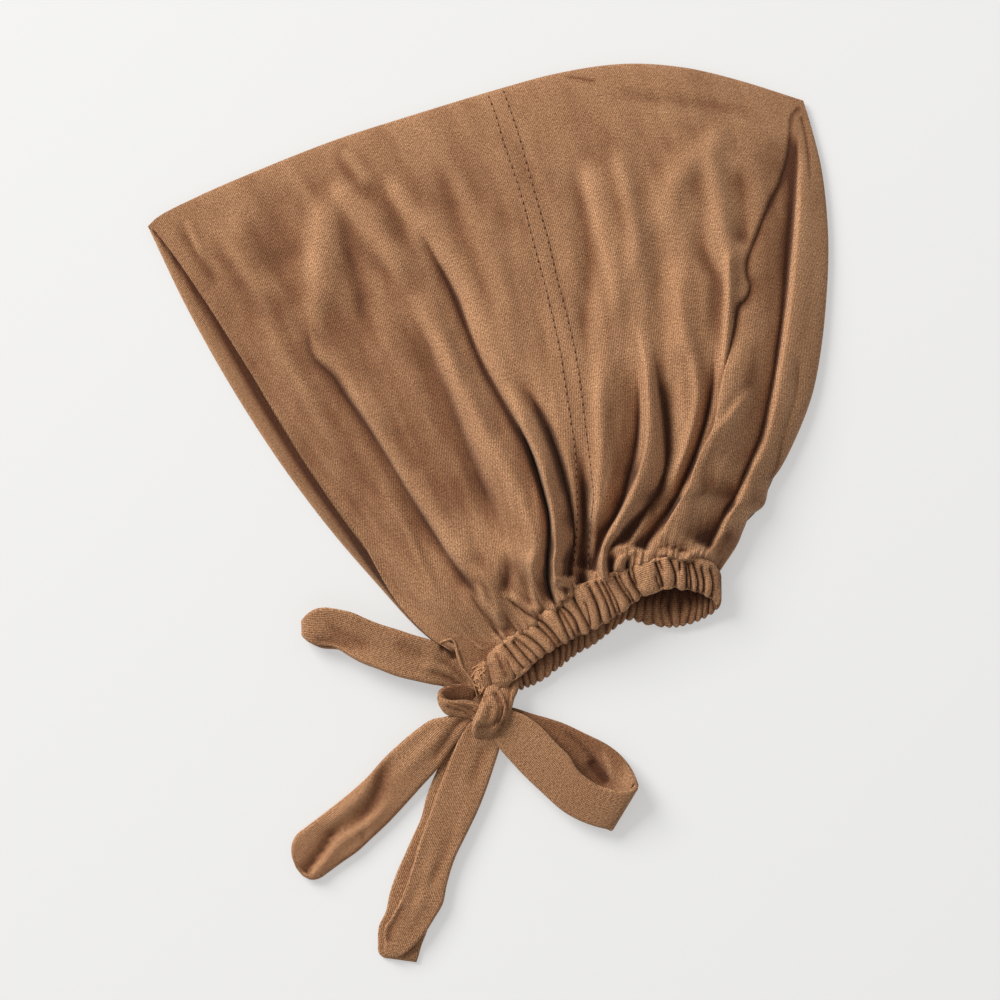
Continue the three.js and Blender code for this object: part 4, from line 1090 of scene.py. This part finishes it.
def thread(name, colour, roughness, sheen):
    """Twisted sewing thread."""
    material, tree, shader = new_material(name, {
        "Roughness": roughness, "Sheen Weight": sheen, "Specular IOR Level": sheen,
    })
    uv = add(tree, "UVMap", {}, uv_map="cloth").outputs[0]
    twist = add(tree, "TexWave", {"Vector": uv, "Scale": 1.4, "Distortion": 1},
                bands_direction="DIAGONAL").outputs["Fac"]
    shades = ramp(tree, twist, (0, tuple(0.6 * part for part in colour)), (1, colour))
    bump = add(tree, "Bump", {"Strength": 0.6, "Distance": 0.0002, "Height": twist})
    feed(tree, shader, {"Base Color": shades, "Normal": bump.outputs[0]})
    return material


CLOTH = jersey("camel_jersey", 0.4, (0.62, 0.58, 0.54))
RIBBED_CLOTH = jersey("camel_jersey_drawn_up", 0.34, (0.74, 0.7, 0.66))
THREAD = thread("seam_thread", (0.46, 0.23, 0.11), 0.6, 0.2)
PALE_THREAD = thread("overlock_thread", (0.9, 0.5, 0.25), 0.7, 0)
# Painted shade at the needle holes, as a dark grain
NEEDLE_HOLE_SHADE = thread("needle_hole_shade", (0.12, 0.05, 0.025), 1, 0)


def dress(piece, node, slot):
    piece.data.materials.append(RIBBED_CLOTH if slot == "casing_jersey" else CLOTH)
    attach(piece, "root")
    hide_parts(node)


def trim(name, parts, material):
    """Stitches or threads, as one piece."""
    piece = join_meshes(name, parts)
    piece.data.materials.append(material)
    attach(piece, "root")


STITCH_PITCH = 3.3
STITCH_LENGTH = 2.4
THREAD_RADIUS = 0.22
THREAD_PROUD = 0.08
# The dark grain sunk at each needle hole is painted shade where the thread dives into the cloth
HOLE_RADIUS = 0.34
HOLE_LENGTH = 1.5
HOLE_DEPTH = 0.25
HOLE_SUNK = 0.1
# The two rows of stitches along the seam, from the crown to the neck
LEFT_ROW = (
    (489, 98), (496, 117), (503, 142), (511, 166), (519, 190), (526, 215), (532, 240), (539, 265),
    (543, 280), (551, 313), (560, 354), (566, 394), (570, 420), (574, 446), (576, 477), (577, 509),
    (576, 535), (574, 557), (573, 571),
)
RIGHT_ROW = (
    (504, 93), (511, 113), (519, 138), (526, 163), (533, 188), (540, 213), (547, 237), (549, 246),
    (558, 285), (566, 315), (576, 361), (584, 420), (588, 452), (591, 477), (593, 497), (591, 516),
    (589, 541), (588, 560), (588, 571),
)
BEAD_SIDES = 8
BEAD_RINGS = 7
BEAD_BLUNT = 2.6
BEAD_TIP = 0.02
BEAD_ARCH = 0.25
# In metres, the levels above and below the cap from which the cloth is looked for
SKY = 0.08
UNDERGROUND = -0.02
UP = np.array([0.0, 0.0, 1.0])


def bead(place, along, up, length, width, height):
    """Places and faces of a long rounded grain."""
    side_way = unit(np.cross(up, along))
    rings = np.linspace(-1, 1, BEAD_RINGS)
    angle = np.linspace(0, 2 * math.pi, BEAD_SIDES, endpoint=False)
    places = []
    for ring in rings:
        girth = math.sqrt(max(0.0, 1 - abs(ring) ** BEAD_BLUNT)) + BEAD_TIP
        arch = BEAD_ARCH * width * (1 - ring ** 2)
        for turn in angle:
            out = side_way * math.cos(turn) * girth * width
            rise = math.sin(turn) * girth * height + arch
            places.append(place + along * ring * length / 2 + out + up * rise)
    index = np.arange(len(places)).reshape(BEAD_RINGS, BEAD_SIDES)
    faces = tube_faces(index)[:, ::-1].tolist() + [index[0][::-1].tolist(), index[-1].tolist()]
    uvs = [(ring * length, turn * width) for ring in rings for turn in angle]
    return np.array(places), faces, np.array(uvs), np.full(len(places), 0.5)


def tree_of(piece):
    corners = [vertex.co[:] for vertex in piece.data.vertices]
    return BVHTree.FromPolygons(corners, [face.vertices[:] for face in piece.data.polygons])


def cloth_at(place, trees, from_above):
    """Where the cloth lies at a place of the plan, and the way out of it, or None."""
    start = Vector((place[0] * MM, place[1] * MM, SKY if from_above else UNDERGROUND))
    way = Vector((0, 0, -1 if from_above else 1))
    hits = [tree.ray_cast(start, way) for tree in trees]
    hits = [hit for hit in hits if hit[0] is not None]
    if not hits:
        return None
    hit = min(hits, key=lambda one: one[3])
    normal = np.array(hit[1])
    return np.array(hit[0]) / MM, normal * math.copysign(1, -normal[2] * way[2])


def sewn_row(path, trees, from_above):
    """Stitches, and dark grains of painted shade at their needle holes, along a line of the plan, laid on
    the cloth below it.
    """
    stitches, hole_shades = [], []
    halves = np.arange(2 * int(path.length / STITCH_PITCH) + 1) / 2
    ground = [cloth_at(path(half * STITCH_PITCH / path.length), trees, from_above) for half in halves]
    for start, midway, end in zip(ground[:-2:2], ground[1:-1:2], ground[2::2]):
        if start is None or end is None:
            continue
        first, last = start[0], end[0]
        up = unit(start[1] + end[1])
        along = unit(last - first)
        middle = (first + last) / 2
        if midway is not None:
            middle = (middle + midway[0]) / 2
        middle = middle + THREAD_PROUD * up
        stitches.append(bead(middle, along, up, STITCH_LENGTH, THREAD_RADIUS, THREAD_RADIUS))
        hole_shades.append(bead(first - HOLE_SUNK * up, along, up, HOLE_LENGTH, HOLE_RADIUS, HOLE_DEPTH))
    return stitches, hole_shades


def sew(panels):
    """The twin rows along the seam, on the upper and the lower side."""
    trees = [tree_of(piece) for piece in panels]
    stitches, hole_shades = [], []
    for row in (LEFT_ROW, RIGHT_ROW):
        for from_above in (True, False):
            more_stitches, more_hole_shades = sewn_row(Path(from_photo(row)), trees, from_above)
            stitches += more_stitches
            hole_shades += more_hole_shades
    trim("seam_stitches", stitches, THREAD)
    trim("seam_needle_hole_shades", hole_shades, NEEDLE_HOLE_SHADE)


# Loose threads of the overlocked end of the casing, each from one place to another
LOOSE_ENDS = (
    (472,668, 479,664), (474,671, 482,667), (471,677, 475,671), (478,670, 481,679), (473,680, 480,676),
    (479,682, 480,691), (476,688, 484,692), (480,674, 486,668), (484,686, 480,694), (483,663, 485,672),
    (475,676, 483,681), (474,684, 481,687), (482,672, 487,677), (486,664, 483,660), (477,692, 482,688),
)
LOOSE_RADIUS = 0.26
LOOSE_PROUD = 0.25
LOOSE_SLOPE = 0.35
LOOSE_SPAN = 2.4


def fray(cloth):
    """The loose threads, laid on the cloth below them in three steps each."""
    trees = [tree_of(cloth)]
    threads = []
    for row in LOOSE_ENDS:
        first, last = from_photo(pairs(row))
        for step in range(3):
            ground = cloth_at(first + (last - first) * (step + 0.5) / 3, trees, True)
            if ground is None:
                continue
            along = unit(np.append(unit(last - first), LOOSE_SLOPE * (1 - step)))
            place = ground[0] + UP * LOOSE_PROUD * (2 if step == 1 else 1)
            length = np.linalg.norm(last - first) / LOOSE_SPAN
            threads.append(bead(place, along, UP, length, LOOSE_RADIUS, LOOSE_RADIUS))
    trim("overlock_threads", threads, PALE_THREAD)


CAMERA_HEIGHT = 2.4
FILM_WIDTH = 36
FLOOR_SIZE = 12


def make_camera():
    data = bpy.data.cameras.new("camera")
    camera = bpy.data.objects.new("camera", data)
    bpy.context.scene.collection.objects.link(camera)
    centre = from_photo(PHOTO_CENTRE) * MM
    data.lens = FILM_WIDTH * CAMERA_HEIGHT / (PHOTO_SIZE * MM_PER_PIXEL * MM)
    data.sensor_width = FILM_WIDTH
    camera.location = (centre[0], centre[1], CAMERA_HEIGHT)
    bpy.context.scene.camera = camera


def make_floor():
    """A pale surface, lit a little from below as a light table is."""
    material, _, _ = new_material("pale_surface", {
        "Base Color": (0.4, 0.4, 0.396, 1), "Roughness": 0.8,
        "Emission Color": (1, 1, 0.99, 1), "Emission Strength": 0.415,
    })
    bpy.ops.mesh.primitive_plane_add(size=FLOOR_SIZE, location=(0, 0, 0))
    floor = bpy.context.object
    floor.name = "floor"
    floor.data.materials.append(material)


KEY_PLACE = (-2.5, 2.4, 2.2)
KEY_SIZE = 2.1
KEY_POWER = 220
KEY_COLOUR = (1, 0.985, 0.965)
SKY_STRENGTH = 0.42


def make_lights():
    """One large lamp up to the left, and an even sky."""
    data = bpy.data.lights.new("key", "AREA")
    data.shape = "SQUARE"
    data.size = KEY_SIZE
    data.energy = KEY_POWER
    data.color = KEY_COLOUR
    lamp = bpy.data.objects.new("key", data)
    lamp.location = KEY_PLACE
    lamp.rotation_euler = (-Vector(KEY_PLACE)).to_track_quat("-Z", "Y").to_euler()
    bpy.context.scene.collection.objects.link(lamp)
    world = bpy.data.worlds.new("world")
    bpy.context.scene.world = world
    world.use_nodes = True
    feed(world.node_tree, world.node_tree.nodes["Background"], {0: (1, 1, 1, 1), 1: SKY_STRENGTH})
    bpy.context.scene.view_settings.view_transform = "Standard"


make_camera()
make_floor()
make_lights()

front = panel("front_cloth", False)
dress(front, "front_panel", "panel_jersey")
rear = panel("back_cloth", True)
dress(rear, "back_panel", "panel_jersey")
sew((front, rear))
casing = casing_cloth()
dress(casing, "neck_casing", "casing_jersey")
fray(casing)
# Each piece of the bow: its name, the solid it stands for, its bands (rows, folds and the share
# that shows the inner face), how it lies, its cut width and length, and what it rests on
BOW = (
    ("loop_left_cloth", "bow_loop_left", ((LOOP_LEFT, LOOP_LEFT_FOLDS, 0),),
     "folded", (0.019, 0.18), ("floor",)),
    ("loop_right_cloth", "bow_loop_right", ((LOOP_RIGHT, LOOP_RIGHT_FOLDS, 0.45),),
     "folded", (0.02, 0.17), ("floor",)),
    ("tail_left_cloth", "tail_left", ((TAIL_LEFT, TAIL_LEFT_FOLDS, 0),),
     "laid", (0.02, 0.11), ("floor",)),
    ("tail_lower_cloth", "tail_lower",
     ((TAIL_LOWER_UNDER, (), 0), (TAIL_LOWER, TAIL_LOWER_FOLDS, 0)),
     "folded", (0.036, 0.11), ("floor",)),
    ("knot_wrap_cloth", "knot_wrap", ((KNOT_WRAP, KNOT_WRAP_FOLDS, 0),),
     "folded", (0.014, 0.032), ("knot_turn_cloth", "knot_lead_cloth")),
    ("knot_lead_cloth", "knot_lead", ((KNOT_LEAD, KNOT_LEAD_FOLDS, 0),),
     "folded", (0.01, 0.026), ("knot_turn_cloth",)),
    ("knot_turn_cloth", "knot_turn", ((KNOT_TURN, KNOT_TURN_FOLDS, 0.42),),
     "folded", (0.0105, 0.038), ("tail_left_cloth",)),
)
for number, (name, node, bands, held, flat, rests_on) in enumerate(BOW):
    shells = [tie_band(*band, seed=2 * number + k) for k, band in enumerate(bands)]
    dress(join_meshes(name, shells), node, "tie_jersey")
